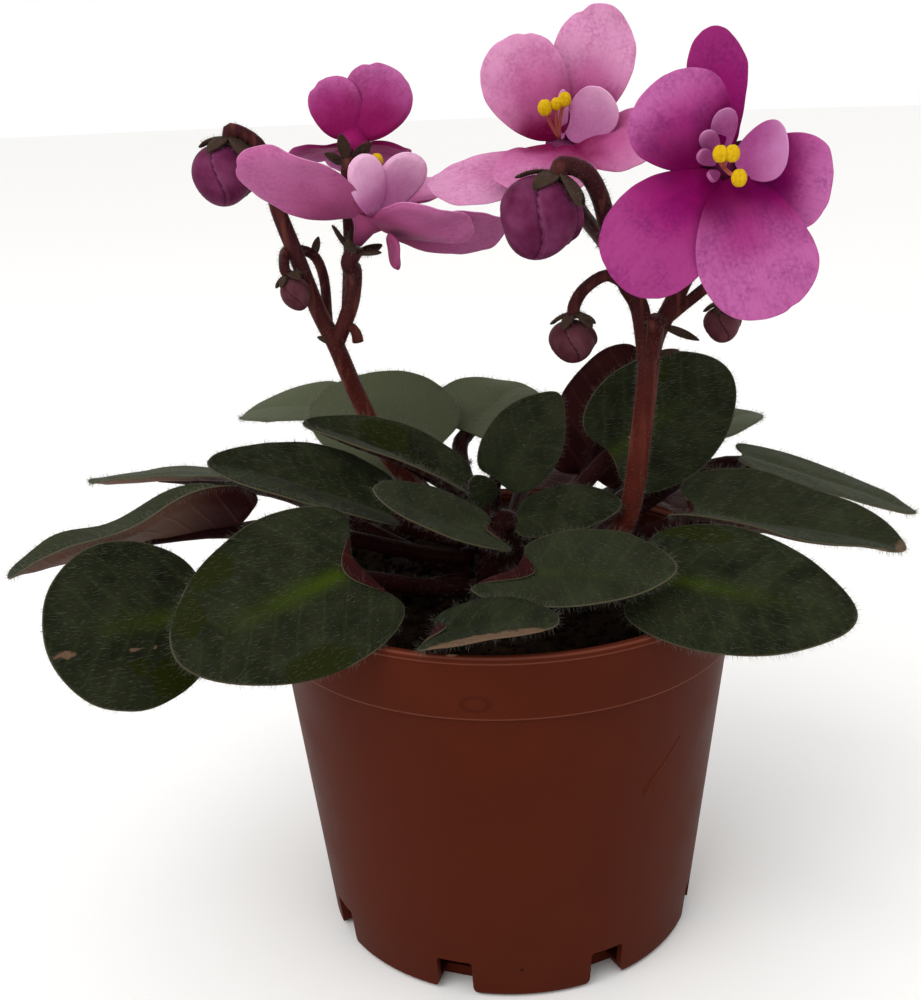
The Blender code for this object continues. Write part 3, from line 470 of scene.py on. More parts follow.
soil_radius = inner_radius(SOIL_TOP) - SEAT
soil = ring_disc(128, [0.03] * 32)
for vert in soil.data.vertices:
    place = vert.co.xy * soil_radius
    spot = Vector((place.x, place.y, 0.0))
    lumps = sum(height * noise.noise(spot / (size * MM)) for height, size in SOIL_LUMPS)
    vert.co = (place.x, place.y, SOIL_TOP + (lumps - 0.45) * 0.9 * MM)
apply_modifier(soil, "SOLIDIFY", thickness=2.0 * MM, offset=-1.0)

# %% Peat crumbs
rng = np.random.default_rng(7)
bpy.ops.mesh.primitive_ico_sphere_add(subdivisions=1, radius=1.0)
crumb = bpy.context.object
with editing(crumb, "VERT"):
    bpy.ops.transform.resize(value=(1.0, 0.75, 0.6))
crumb_points = np.array([vert.co for vert in crumb.data.vertices])
crumb_faces = np.array([face.vertices for face in crumb.data.polygons])


def mesh_of(name, points, faces):
    """A mesh of these points and triangles."""
    mesh = bpy.data.meshes.new(name)
    mesh.vertices.add(len(points))
    mesh.vertices.foreach_set("co", points.ravel().astype(np.float32))
    mesh.loops.add(faces.size)
    mesh.loops.foreach_set("vertex_index", faces.ravel().astype(np.int32))
    mesh.polygons.add(len(faces))
    mesh.polygons.foreach_set("loop_start", np.arange(0, faces.size, 3, dtype=np.int32))
    mesh.update(calc_edges=True)
    return mesh


def strewn(points, faces, places, turns, sizes):
    """One mesh that holds a copy of a small shape at each place, turned and sized."""
    many = np.einsum("nij,kj->nki", turns, points) * sizes[:, None, None] + places[:, None, :]
    offsets = np.arange(len(places))[:, None, None] * len(points)
    made = bpy.data.objects.new(
        "strewn", mesh_of("strewn", many.reshape(-1, 3), (faces[None] + offsets).reshape(-1, 3)),
    )
    scene.collection.objects.link(made)
    return made


def random_turns(count):
    """Random rotation matrices."""
    return np.linalg.qr(rng.normal(size=(count, 3, 3)))[0]


CRUMBS = 900
away = np.sqrt(rng.uniform((CROWN_RADIUS / soil_radius) ** 2, 0.97, CRUMBS)) * soil_radius
around = rng.uniform(0, math.tau, CRUMBS)
crumb_heights = SOIL_TOP - 0.35 * MM + rng.uniform(0, 0.3, CRUMBS) * MM
crumb_places = np.stack([away * np.cos(around), away * np.sin(around), crumb_heights], 1)
crumbs = strewn(
    crumb_points, crumb_faces, crumb_places, random_turns(CRUMBS), rng.uniform(0.25, 0.95, CRUMBS) * MM,
)
bpy.data.objects.remove(crumb)
with editing(crumbs):
    bpy.ops.mesh.normals_make_consistent(inside=False)
soil = joined([soil, crumbs])
print("soil:", len(soil.data.polygons), "faces")

# %% [markdown]
# ### Moist peat
# Peat is nearly black when it is wet. What the eye sees is its crumb: small dark clods, paler dry
# fibres and a few glints of water.

# %% The soil's finish
peat = new_material("peat_moist")
peat_place = add_node(peat, "TexCoord", out="Object")
peat_crumb = add_node(
    peat, "TexNoise", {"Vector": peat_place, "Scale": 700.0, "Detail": 6.0, "Roughness": 0.7},
)
peat_spread = add_node(peat, "MapRange", {"Value": peat_crumb, "From Min": 0.35, "From Max": 0.75})
peat_tone = layered(peat, "#080504", (peat_spread, "#2b1d13"))
peat_rough = add_node(
    peat, "MapRange", {"Value": peat_crumb, "From Min": 0.3, "From Max": 0.6, "To Min": 0.6, "To Max": 0.95},
)
peat_bump = add_node(peat, "Bump", {"Height": peat_crumb, "Strength": 0.8, "Distance": 0.0005})
add_node(
    peat, "Principled BSDF",
    {"Base Color": peat_tone, "Roughness": peat_rough, "Normal": peat_bump, "IOR": 1.4},
)
soil.data.materials.clear()
soil.data.materials.append(peat)
finish_piece(soil, "soil_peat", "soil", "soil", smooth=False)

# %% [markdown]
# ## Blades
# Leaves, petals, sepals and bracts are all blades: a flat outline, bent along its midrib, with halves
# that rise or fall. No operator bends a disc into a lobed and ruffled blade, so each starts as a copy
# of a disc made by insets, and its points are then moved by one formula, the same one that the solids
# were made with. Solidify gives the wall, and Subdivision Surface rounds its edge.

# %% The form of a blade
SINUS_WIDTH = 0.45
FOLD_FADE = 0.6
# Where along a blade its halves sag, and how far that reaches, of its length
SAG_PLACE = 0.52
SAG_REACH = 0.22


class Blade:
    """The middle surface of a leaf or petal, between a base point and a tip.

    Its own axes are x along the midrib, y across it and z out of the upper face. The midrib is an arc,
    and the two halves rise or fall from it as wings.
    """

    def __init__(self, base, tip, face, width, arch=0.0, wings=(0.0, 0.0), lobe=0.0, point=0.0, waist=0.0,
                 skew=0.0, sag=0.0, wave=0.0, waves=5, wave_start=0.0, relief=None, outline=None):
        self.base = Vector(base)
        chord = Vector(tip) - self.base
        self.along = chord.normalized()
        facing = Vector(face)
        self.normal = (facing - self.along * facing.dot(self.along)).normalized()
        self.across = self.normal.cross(self.along)
        self.half_turn = math.radians(arch) / 2 if abs(arch) > 0.5 else math.radians(0.25)
        self.length = chord.length * self.half_turn / math.sin(self.half_turn)
        self.bend = 2 * self.half_turn / self.length
        self.half_width = width / 2
        self.wings, self.lobe, self.point, self.waist = wings, lobe * self.length, point, waist
        self.wave, self.waves, self.wave_start = wave, waves, wave_start
        self.skew, self.sag, self.relief, self.outline = skew, sag, relief, outline

    def surface(self, x, y, lift=0.0):
        """The point at x along the midrib and y across it, raised by lift out of the upper face."""
        turn = self.half_turn - self.bend * x
        run = (math.sin(self.half_turn) - math.sin(turn)) / self.bend
        rise = (math.cos(turn) - math.cos(self.half_turn)) / self.bend
        side = y / self.half_width
        wing = self.wings[0] if side > 0 else self.wings[1]
        share = min(1.0, max(0.0, x / self.length))
        sagging = self.sag * math.exp(-(((share - SAG_PLACE) / SAG_REACH) ** 2))
        height = wing * (1 - FOLD_FADE * share**2) - sagging
        lift += self.half_width * height * (math.sqrt(side * side + 0.01) - 0.1)
        return (
            self.base
            + self.along * (run - lift * math.sin(turn))
            + self.normal * (rise + lift * math.cos(turn))
            + self.across * y
        )

    def rim(self, rho, theta):
        """x and y of a point of the outline, shrunk by rho: theta is 0 at the tip and pi at the sinus."""
        cosine, sine = math.cos(theta), math.sin(theta)
        lobe = self.lobe * (1 + self.skew * sine)
        reach = (self.length + lobe) / 2
        middle = (self.length - lobe) / 2
        edge = 1 + (self.outline(theta) if self.outline else 0.0) * rho**5
        x = middle + reach * cosine * rho * edge
        sinus = math.exp(-(((math.pi - abs(theta)) / SINUS_WIDTH) ** 2))
        x += lobe * sinus * rho**4
        taper = 1 - self.point * max(0.0, cosine) ** 2 + self.waist * cosine
        return x, self.half_width * sine * rho * taper * edge

    def spot(self, rho, theta):
        """The place on the surface of the unit disc's point at radius rho and angle theta."""
        x, y = self.rim(rho, theta)
        lift = self.wave * rho**3 * math.sin(self.waves * theta + self.wave_start) * self.half_width
        if self.relief:
            lift += self.relief(x, y, rho)
        return self.surface(x, y, lift), (x / MM, y / MM, rho)


MARGIN_START = 0.9
MARGIN_WALL = 0.4


def bent_blade(disc, blade, thickness, finishes):
    """A copy of a disc, bent into a blade's form, with x, y (mm) and rho as its map.

    Its wall thins out towards the margin.
    """
    piece = copy_of(disc)
    wall = piece.vertex_groups.new(name="wall")
    places, maps = [], []
    for vert in piece.data.vertices:
        wall.add([vert.index], 1.0 if vert.co.xy.length < MARGIN_START else 0.0, "REPLACE")
        place, where = blade.spot(min(1.0, vert.co.xy.length), math.atan2(vert.co.y, vert.co.x))
        places.extend(place)
        maps.extend(where)
    piece.data.vertices.foreach_set("co", places)
    set_attribute(piece, "blade_map", "FLOAT_VECTOR", maps)
    for finish in finishes:
        piece.data.materials.append(finish)
    apply_modifier(
        piece, "SOLIDIFY", thickness=thickness, offset=-1.0, material_offset=len(finishes) - 1,
        vertex_group="wall", thickness_vertex_group=MARGIN_WALL,
    )
    piece.vertex_groups.clear()
    apply_modifier(piece, "SUBSURF", levels=1, render_levels=1)
    return piece


leaf_disc = ring_disc(44, [0.035, 0.055, 0.085, 0.1, 0.115, 0.12, 0.12, 0.12])
petal_disc = ring_disc(56, [0.04, 0.07, 0.1, 0.13, 0.16, 0.19])
sepal_disc = ring_disc(12, [0.25, 0.3])
print("discs:", [len(disc.data.polygons) for disc in (leaf_disc, petal_disc, sepal_disc)])

# %% [markdown]
# ## Stems
# A stem is a round rod along a smooth path. A curve with a bevel makes one in a single step and takes
# a radius at each point, which an extruded circle can't do as simply. It becomes a mesh at the end.

# %% Stems from curves


def hermite(start, start_way, end, end_way, steps):
    """Points along the smooth path that leaves start along start_way and reaches end along end_way."""
    path = []
    for step in range(steps + 1):
        t = step / steps
        path.append(
            start * (2 * t**3 - 3 * t**2 + 1)
            + start_way * (t**3 - 2 * t**2 + t)
            + end * (3 * t**2 - 2 * t**3)
            + end_way * (t**3 - t**2)
        )
    return path


def smooth_path(points, steps):
    """A smooth path through points, with this many steps between two of them."""
    ends = [points[0] * 2 - points[1], *points, points[-1] * 2 - points[-2]]
    path = []
    for before, here, after, beyond in zip(ends, ends[1:], ends[2:], ends[3:]):
        path += hermite(here, (after - before) / 2, after, (beyond - here) / 2, steps)[:-1]
    return [*path, points[-1]]


def stem(points, radii, finish, roundness=4):
    """A round rod along points, with a radius at each."""
    bpy.ops.object.select_all(action="DESELECT")
    bpy.ops.curve.primitive_bezier_curve_add()
    rod = bpy.context.object
    curve = rod.data
    curve.splines.clear()
    curve.bevel_depth = 1.0
    curve.bevel_resolution = roundness
    curve.use_fill_caps = True
    spline = curve.splines.new("POLY")
    spline.points.add(len(points) - 1)
    for spot, point, radius in zip(spline.points, points, radii):
        spot.co = (*point, 1.0)
        spot.radius = radius
    bpy.ops.object.convert(target="MESH")
    with editing(rod):
        bpy.ops.mesh.remove_doubles(threshold=0.000005)
        bpy.ops.mesh.normals_make_consistent(inside=False)
    rod.data.materials.clear()
    rod.data.materials.append(finish)
    return rod


# %% [markdown]
# ## Hairs
# Everything on this plant but its petals is hairy, and the hairs at the leaves' edges are what makes
# them look soft. Particles would vanish in the exported model, so one hair is modelled, a thin cone cut
# once across so that it can curve, and copied to random places on each piece.

# %% One hair and a coat of hairs
# The share of the real plant's hairs that is modelled, so that the meshes stay light
HAIRS_KEPT = 0.83
# How deep a hair stands in the skin
HAIR_ROOT = 0.04 * MM
bpy.ops.object.select_all(action="DESELECT")
bpy.ops.mesh.primitive_cone_add(
    vertices=3, radius1=1.0, radius2=0.0, depth=1.0, end_fill_type="NOTHING", location=(0, 0, 0.5)
)
hair = bpy.context.object
with editing(hair):
    bpy.ops.mesh.bisect(plane_co=(0, 0, 0.5), plane_no=(0, 0, 1))
    bpy.ops.mesh.select_all(action="SELECT")
    bpy.ops.mesh.quads_convert_to_tris()
bpy.ops.object.transform_apply(location=True, rotation=True, scale=True)
hair_points = np.array([vert.co for vert in hair.data.vertices])
hair_faces = np.array([face.vertices for face in hair.data.polygons])
bpy.data.objects.remove(hair)
print("one hair:", len(hair_points), "points,", len(hair_faces), "faces")


def faces_of(piece):
    """Corner places, area, normal, finish number and mean blade map of each triangle of a piece."""
    mesh = piece.data
    mesh.calc_loop_triangles()
    count = len(mesh.loop_triangles)
    corners, finishes = np.empty(count * 3, np.int32), np.empty(count, np.int32)
    mesh.loop_triangles.foreach_get("vertices", corners)
    mesh.loop_triangles.foreach_get("material_index", finishes)
    points = np.empty(len(mesh.vertices) * 3, np.float32)
    mesh.vertices.foreach_get("co", points)
    maps = np.zeros(len(points), np.float32)
    places = points.reshape(-1, 3)[corners.reshape(-1, 3)].astype(float)
    if "blade_map" in mesh.attributes:
        mesh.attributes["blade_map"].data.foreach_get("vector", maps)
    else:
        # The faces of buds and crown come in another order on each run. Sorted by place, they get the
        # same hairs each time.
        order = np.lexsort(places.reshape(-1, 9).T)
        places, finishes = places[order], finishes[order]
    cross = np.cross(places[:, 1] - places[:, 0], places[:, 2] - places[:, 0])
    size = np.linalg.norm(cross, axis=1)
    mean_map = maps.reshape(-1, 3)[corners.reshape(-1, 3)].mean(axis=1)
    return places, size / 2, cross / np.maximum(size, 1e-18)[:, None], finishes, mean_map


def hair_coat(piece, name, slot, finish, growth, seed, radius=0.016, outward=1.0):
    """Hairs on a piece.

    For each triangle, growth gives the hairs to the square mm, their length (mm), how far they rise, how
    far they lean, and how much they stray from leaning outward.
    """
    dice = np.random.default_rng(seed)
    places, area, normal, finishes, maps = faces_of(piece)
    density, length, rise, lean, stray = (np.broadcast_to(row, area.shape) for row in growth(finishes, maps))
    wanted = area * 1e6 * density * HAIRS_KEPT
    count = dice.poisson(wanted.sum())
    rows = dice.choice(len(area), count, p=wanted / wanted.sum())
    u, v = dice.random(count), dice.random(count)
    u, v = np.where(u + v > 1, 1 - u, u), np.where(u + v > 1, 1 - v, v)
    corner = places[rows]
    one_edge, next_edge = corner[:, 1] - corner[:, 0], corner[:, 2] - corner[:, 0]
    roots = corner[:, 0] + u[:, None] * one_edge + v[:, None] * next_edge
    up_way = normal[rows]
    side = np.cross(up_way, dice.normal(size=(count, 3)))
    side /= np.linalg.norm(side, axis=1)[:, None]
    other = np.cross(up_way, side)
    away = roots * (1.0, 1.0, 0.0) / np.linalg.norm(roots[:, :2] + 1e-9, axis=1)[:, None]
    away -= up_way * (away * up_way).sum(axis=1)[:, None]
    droop = side * dice.uniform(0.1, 1.0, (count, 1)) * stray[rows][:, None] + away * outward
    droop *= lean[rows][:, None]
    reach = length[rows] * dice.uniform(0.6, 1.3, count) * MM
    thick = radius * MM * dice.uniform(0.8, 1.2, count)
    tall = up_way * rise[rows][:, None]
    x, y, z = hair_points.T
    bowed = 0.4 * z + 0.6 * z * z
    many = (
        roots[:, None] - up_way[:, None] * HAIR_ROOT
        + thick[:, None, None] * (x[:, None] * side[:, None] + y[:, None] * other[:, None])
        + reach[:, None, None] * (z[:, None] * tall[:, None] + bowed[:, None] * droop[:, None])
    )
    offsets = np.arange(count)[:, None, None] * len(hair_points)
    mesh = mesh_of(name, many.reshape(-1, 3), (hair_faces[None] + offsets).reshape(-1, 3))
    mesh.materials.append(finish)
    coat = bpy.data.objects.new(name, mesh)
    scene.collection.objects.link(coat)
    set_attribute(coat, "hair_map", "FLOAT", np.tile(z, count))
    finish_piece(coat, name, slot)
    return count


# %% [markdown]
# ### Plant hair
# Each hair is a chain of a few clear cells, so it looks white against the dark leaf and takes some of
# the leaf's colour at its foot.

# %% The hairs' finish
plant_hair = new_material("plant_hair")
hair_share = add_node(plant_hair, "Attribute", out="Fac", attribute_name="hair_map")
hair_tone = layered(plant_hair, "#30322a", (hair_share, "#84847a"))
add_node(plant_hair, "Principled BSDF", {"Base Color": hair_tone, "Roughness": 0.45, "IOR": 1.4})

# %% [markdown]
# ### A run of water on the pot
# A drop has run down the wall and dried. It is a thin ridge that ends in a flat bulb, so it is a stem
# that lies more than half in the wall.

# %% The run of water
# How far round the pot each point of the run lies (degrees), its height and its radius (mm)
WATER_RUN = (
    (47.0, 33.5, 0.2), (44.6, 32.2, 0.24), (41.8, 30.8, 0.26), (39.3, 29.7, 0.3),
    (37.4, 28.7, 0.5), (36.4, 27.7, 0.85), (36.1, 27.0, 0.6),
)
run_points, run_radii = [], []
for degrees, height, radius in WATER_RUN:
    turn, height, radius = math.radians(degrees), height * MM, radius * MM
    out = POT_FOOT_RADIUS + (wall_top - POT_FOOT_RADIUS) * height / COLLAR_BOTTOM - radius * 0.7
    run_points.append(Vector((math.sin(turn) * out, -math.cos(turn) * out, height)))
    run_radii.append(radius)
water_run = stem(run_points, run_radii, pot_plastic)
finish_piece(water_run, "pot_water_run", "pot", "pot")

# %% [markdown]
# ## Leaves
# ### The upper skin
# A leaf's upper skin is dark green and slightly pebbled, because each hair stands on a small swelling.
# It is yellow-green along the midrib, where the leaf is thickest and has the fewest hairs, and darker
# and glossier in patches where water has lain. Its map gives the place of each point along and across
# the leaf, and its marks say how much glow, wet and pallor it has.

# %% The leaves' upper skin
leaf_skin = new_material("leaf_upper_skin")
leaf_place = add_node(leaf_skin, "Attribute", out="Vector", attribute_name="blade_map")
leaf_x, leaf_y, leaf_rho = add_node(leaf_skin, "SeparateXYZ", {"Vector": leaf_place}).node.outputs
marks = add_node(leaf_skin, "Attribute", out="Vector", attribute_name="leaf_marks")
mark_glow, mark_wet, mark_pale = add_node(leaf_skin, "SeparateXYZ", {"Vector": marks}).node.outputs
skin_place = add_node(leaf_skin, "TexCoord", out="Object")
# Broad mottling, 4 mm across, and fine pebbling, 0.45 mm across
mottle = add_node(
    leaf_skin, "TexNoise", {"Vector": skin_place, "Scale": 250.0, "Detail": 4.0, "Roughness": 0.6},
)
mottle_spread = add_node(leaf_skin, "MapRange", {"Value": mottle, "From Min": 0.32, "From Max": 0.7})
skin_tone = layered(leaf_skin, "#13160b", (mottle_spread, "#252919"))
# Side veins leave the midrib at a slant, about 3 mm apart
across_size = add_node(leaf_skin, "Math", {"Value": leaf_y}, operation="ABSOLUTE")
wander = add_node(
    leaf_skin, "Math", {"Value": mottle, "Value_001": 2.2, "Value_002": leaf_x}, operation="MULTIPLY_ADD",
)
slanted = add_node(
    leaf_skin, "Math", {"Value": across_size, "Value_001": -0.7, "Value_002": wander},
    operation="MULTIPLY_ADD",
)
vein_wave = add_node(leaf_skin, "Math", {"Value": slanted, "Value_001": 1.6}, operation="PINGPONG")
vein_line = add_node(
    leaf_skin, "MapRange", {"Value": vein_wave, "From Min": 0.45, "From Max": 0.0},
    interpolation_type="SMOOTHSTEP",
)
vein_share = add_node(leaf_skin, "Math", {"Value": vein_line, "Value_001": 0.06}, operation="MULTIPLY")
# The margin is a thin pale line
margin_line = add_node(
    leaf_skin, "MapRange", {"Value": leaf_rho, "From Min": 0.98, "From Max": 1.0, "To Max": 0.35},
)
wet_reach = add_node(
    leaf_skin, "Math", {"Value": mottle, "Value_001": 0.8, "Value_002": mark_wet}, operation="MULTIPLY_ADD",
)
wet_edge = add_node(
    leaf_skin, "MapRange", {"Value": wet_reach, "From Min": 0.87, "From Max": 0.95, "To Max": 0.85},
)
# Dry tissue is tan, with ragged edges
dry_mark = add_node(leaf_skin, "Attribute", out="Fac", attribute_name="leaf_dry")
dry_grain = add_node(leaf_skin, "TexNoise", {"Vector": skin_place, "Scale": 900.0, "Detail": 3.0})
dry_reach = add_node(
    leaf_skin, "Math", {"Value": dry_grain, "Value_001": 0.9, "Value_002": dry_mark},
    operation="MULTIPLY_ADD",
)
dry_share = add_node(
    leaf_skin, "MapRange", {"Value": dry_reach, "From Min": 0.9, "From Max": 1.1, "To Max": 0.7},
)
# Grit: pale specks 0.3 mm across, a few to a leaf
grit_cell = add_node(leaf_skin, "TexVoronoi", {"Vector": skin_place, "Scale": 420.0}, out="Distance")
grit_pick = add_node(leaf_skin, "TexNoise", {"Vector": skin_place, "Scale": 140.0, "Detail": 0.0})
grit_size = add_node(
    leaf_skin, "MapRange", {"Value": grit_pick, "From Min": 0.6, "From Max": 0.75, "To Max": 0.07},
)
grit_share = add_node(leaf_skin, "Math", {"Value": grit_cell, "Value_001": grit_size}, operation="LESS_THAN")
# The layers from the veins up: glow, pallor, margin, wet patches, dry tissue and grit
leaf_tone = layered(
    leaf_skin, skin_tone, (vein_share, "#4c5a2a"), (mark_glow, "#2f3b08"), (mark_pale, "#4a4f3a"),
    (margin_line, "#6f6450"), (wet_edge, "#1b2004"), (dry_share, "#6b5140"), (grit_share, "#8d8c76"),
)
skin_rough = add_node(leaf_skin, "MapRange", {"Value": wet_edge, "To Min": 0.62, "To Max": 0.28})
pebbles = add_node(leaf_skin, "TexVoronoi", {"Vector": skin_place, "Scale": 2200.0}, out="Distance")
pebble_height = add_node(
    leaf_skin, "Math", {"Value": pebbles, "Value_001": 0.5, "Value_002": mottle}, operation="MULTIPLY_ADD",
)
skin_height = add_node(
    leaf_skin, "Math", {"Value": vein_line, "Value_001": -0.35, "Value_002": pebble_height},
    operation="MULTIPLY_ADD",
)
skin_bump = add_node(leaf_skin, "Bump", {"Height": skin_height, "Strength": 0.5, "Distance": 0.0002})
add_node(
    leaf_skin, "Principled BSDF",
    {"Base Color": leaf_tone, "Roughness": skin_rough, "Normal": skin_bump, "IOR": 1.4, "Sheen Weight": 0.06,
     "Sheen Roughness": 0.4, "Sheen Tint": colour("#c8cfb8")},
)

# %% [markdown]
# ### The underside and the leaf stalks
# The undersides and the stalks are flushed with red pigment. The veins show through as paler lines, and
# the stalks are smoother and a little shiny between their hairs.

# %% The undersides and the leaf stalks
under_skin = new_material("leaf_under_skin")
under_map = add_node(under_skin, "Attribute", out="Vector", attribute_name="blade_map")
under_x, under_y = add_node(under_skin, "SeparateXYZ", {"Vector": under_map}).node.outputs[:2]
under_size = add_node(under_skin, "Math", {"Value": under_y}, operation="ABSOLUTE")
under_slant = add_node(
    under_skin, "Math", {"Value": under_size, "Value_001": -0.8, "Value_002": under_x},
    operation="MULTIPLY_ADD",
)
under_wave = add_node(under_skin, "Math", {"Value": under_slant, "Value_001": 1.6}, operation="PINGPONG")
under_vein = add_node(
    under_skin, "MapRange", {"Value": under_wave, "From Min": 0.4, "From Max": 0.0},
    interpolation_type="SMOOTHSTEP",
)
under_place = add_node(under_skin, "TexCoord", out="Object")
under_noise = add_node(under_skin, "TexNoise", {"Vector": under_place, "Scale": 300.0, "Detail": 4.0})
under_line = add_node(under_skin, "Math", {"Value": under_vein, "Value_001": 0.08}, operation="MULTIPLY")
# Pale leaves are pink-tan below, away from the stalk, and dry tissue is tan on this side too
under_marks = add_node(under_skin, "Attribute", out="Vector", attribute_name="leaf_marks")
under_pale = add_node(under_skin, "SeparateXYZ", {"Vector": under_marks}, out="Z")
under_far = add_node(
    under_skin, "MapRange", {"Value": under_x, "From Min": 3.0, "From Max": 12.0, "To Max": 1.6},
    interpolation_type="SMOOTHSTEP",
)
under_both = add_node(
    under_skin, "Math", {"Value": under_pale, "Value_001": under_far}, operation="MULTIPLY", use_clamp=True,
)
under_dry = add_node(under_skin, "Attribute", out="Fac", attribute_name="leaf_dry")
under_share = add_node(
    under_skin, "Math", {"Value": under_both, "Value_001": under_dry}, operation="MAXIMUM", use_clamp=True,
)
under_tone = layered(
    under_skin, "#1c060a", (under_noise, "#33120f"), (under_line, "#6d4436"), (under_share, "#7a5c4a"),
)
under_bump = add_node(under_skin, "Bump", {"Height": under_vein, "Strength": 0.25, "Distance": 0.0003})
add_node(
    under_skin, "Principled BSDF",
    {"Base Color": under_tone, "Roughness": 0.55, "Normal": under_bump, "IOR": 1.4, "Sheen Weight": 0.04,
     "Sheen Roughness": 0.4, "Sheen Tint": colour("#d8b8b0")},
)

stalk_skin = new_material("leaf_stalk_skin")
stalk_place = add_node(stalk_skin, "TexCoord", out="Object")
stalk_noise = add_node(stalk_skin, "TexNoise", {"Vector": stalk_place, "Scale": 260.0, "Detail": 3.0})
stalk_tone = layered(stalk_skin, "#120405", (stalk_noise, "#290d0c"))
stalk_fine = add_node(stalk_skin, "TexNoise", {"Vector": stalk_place, "Scale": 1500.0, "Detail": 2.0})
stalk_bump = add_node(stalk_skin, "Bump", {"Height": stalk_fine, "Strength": 0.3, "Distance": 0.0002})
add_node(
    stalk_skin, "Principled BSDF",
    {"Base Color": stalk_tone, "Roughness": 0.45, "Normal": stalk_bump, "IOR": 1.4},
)

# %% [markdown]
# ### The rosette
# Each row gives where the stalk meets the blade, where the tip is, which way the upper face looks, the
# blade's width, how far it arches (degrees), how far its halves rise (of the half width), how far its
# lobes reach back past the stalk (of its length), and the height at which its stalk leaves the crown.
# Lengths are in millimetres. These are the same numbers that the solids were made from.

# %% The leaves' places
LEAVES = {
    "front_left": ((-18.5, -23, 57), (-36, -34, 52), (-0.05, -0.85, 0.6), 20.5, 15, (0.0, 0.0), 0.42, 47.4),
    "far_left": (
        (-35.5, -19.2, 51.0), (-52.0, -28.7, 52.0), (-0.1, -0.85, 0.6), 20.4, 15, (-0.1, 0.1), 0.1, 47.4,
    ),
    "left_edge": (
        (-33.1, -5, 57.8), (-59.8, -17, 55.4), (-0.05, -0.05, 1.0), 13.5, 18, (1.3, 0.65), 0.16, 50.2,
    ),
    "left_back": ((-36, 12, 58.6), (-57, 9, 59.3), (0.0, 0.2, 1.0), 15, 12, (0.05, 0.05), 0.16, 47.4),
    "left_middle": ((-14, -6.5, 59), (-36, -9, 67), (0.2, -0.25, 0.9), 14, 12, (0.35, 0.3), 0.16, 53.0),
    "left_upper": (
        (-5.2, -1.8, 60.6), (-25.2, -1, 69.6), (0.25, -0.35, 0.9), 10, 20, (0.75, 0.3), 0.16, 55.2,
    ),
    "back_left": ((-8.6, 12.5, 61.6), (-26.3, 22, 67.2), (0.1, -0.6, 0.8), 19, 25, (0.1, 0.1), 0.12, 53.0),
    "back_far_left": ((-24, 26, 64.6), (-40, 36, 61.5), (0.0, -0.3, 1.0), 12.5, 25, (0.1, 0.1), 0.16, 50.2),
    "back": ((-5, 17.5, 63), (4, 31, 66), (0.0, -0.4, 0.9), 16, 25, (0.1, 0.1), 0.16, 50.2),
    "heart": ((-0.4, 2.2, 60), (8, 7.2, 70.3), (0.2, -0.9, 0.3), 10.3, 15, (0.1, 0.1), 0.12, 55.0),
    "right_round": ((14.8, 4.5, 62.4), (31.2, 11, 72), (0.0, -0.9, 0.35), 17.2, 22, (0.05, 0.05), 0.18, 53.0),
    "right_upright": (
        (12.1, 11.5, 57.4), (18.6, 18.5, 74.3), (0.25, 0.92, 0.2), 14.5, 20, (0.1, 0.1), 0.16, 53.0,
    ),
    "back_right": ((28, 24, 59), (39.5, 34, 60), (0.0, -0.1, 1.0), 11, 25, (0.1, 0.1), 0.16, 50.2),
    "right_edge": (
        (33.5, 10.5, 60.2), (57, 8.5, 51.9), (0.1, -0.05, 1.0), 11.5, 6, (0.05, -0.05), 0.16, 47.4,
    ),
    "right_long": ((24.6, -6, 57.3), (49, -13, 54.9), (0.1, -0.28, 0.95), 14, 12, (0.55, 0.7), 0.26, 47.4),
    "front_right": ((17.5, -21, 55), (38.5, -31, 53), (0.1, -0.78, 0.68), 16, 15, (0.0, 0.0), 0.25, 47.4),
    "front_middle": (
        (4, -21.5, 56.0), (19.4, -26, 57.9), (-0.02, -0.55, 0.83), 11.0, -22, (0.3, 0.25), 0.48, 50.2,
    ),
    "small_right": ((2, -6.5, 57.4), (14.8, -10, 60.3), (0.0, -0.6, 0.8), 7.5, 20, (0.0, 0.0), 0.1, 55.0),
    "rim_curl": ((-6.2, -28.8, 52.4), (6, -33, 54.8), (0.3, -0.4, 0.85), 8.2, 25, (0.0, 0.25), 0.45, 47.4),
    "middle": ((-2.0, -12, 58.0), (-15, -16, 65.0), (0.3, -0.4, 0.85), 8.8, -12, (0.3, 0.1), 0.28, 53.0),
    "tiny": ((-1.5, -1.5, 58), (-3.5, -3, 62), (0.2, -0.9, 0.3), 4, 10, (0.1, 0.1), 0.1, 56.0),
    "behind_left": ((-10.4, 29, 54.5), (-17, 45, 46), (0.0, 0.5, 0.9), 16, 35, (0.1, 0.1), 0.16, 47.4),
    "behind": ((5, 31, 53.6), (6.5, 46, 43), (0.0, 0.5, 0.9), 17, 35, (0.1, 0.1), 0.16, 47.4),
    "behind_right": ((20, 24.5, 52.2), (31, 37, 40.5), (0.2, 0.5, 0.9), 16, 35, (0.1, 0.1), 0.16, 47.4),
}
# For leaves whose stalk leaves the crown at another angle than straight towards the blade (degrees)
STALK_TURN = {
    "far_left": -8, "rim_curl": 3, "back": -5, "back_right": 2, "behind_right": 5, "behind": 8,
    "behind_left": 10, "right_upright": 12, "right_round": -4, "right_edge": 4,
}
# Leaves that are more pointed, or with one lobe longer than the other
LEAF_SHAPE = {
    "heart": {"point": 0.35}, "front_right": {"point": 0.2}, "left_upper": {"point": 0.3},
    "front_middle": {"skew": -0.8}, "middle": {"skew": 0.7}, "far_left": {"point": 0.0, "waist": 0.12},
    "left_edge": {"sag": 0.5}, "right_long": {"sag": 0.2},
}
# Stalks that come up to their blade from behind, so that the blade's lobes hide them
STALK_DIP = {"front_left": 0.9, "front_right": 0.3, "far_left": 0.3, "right_edge": 0.25, "back_right": 0.4}
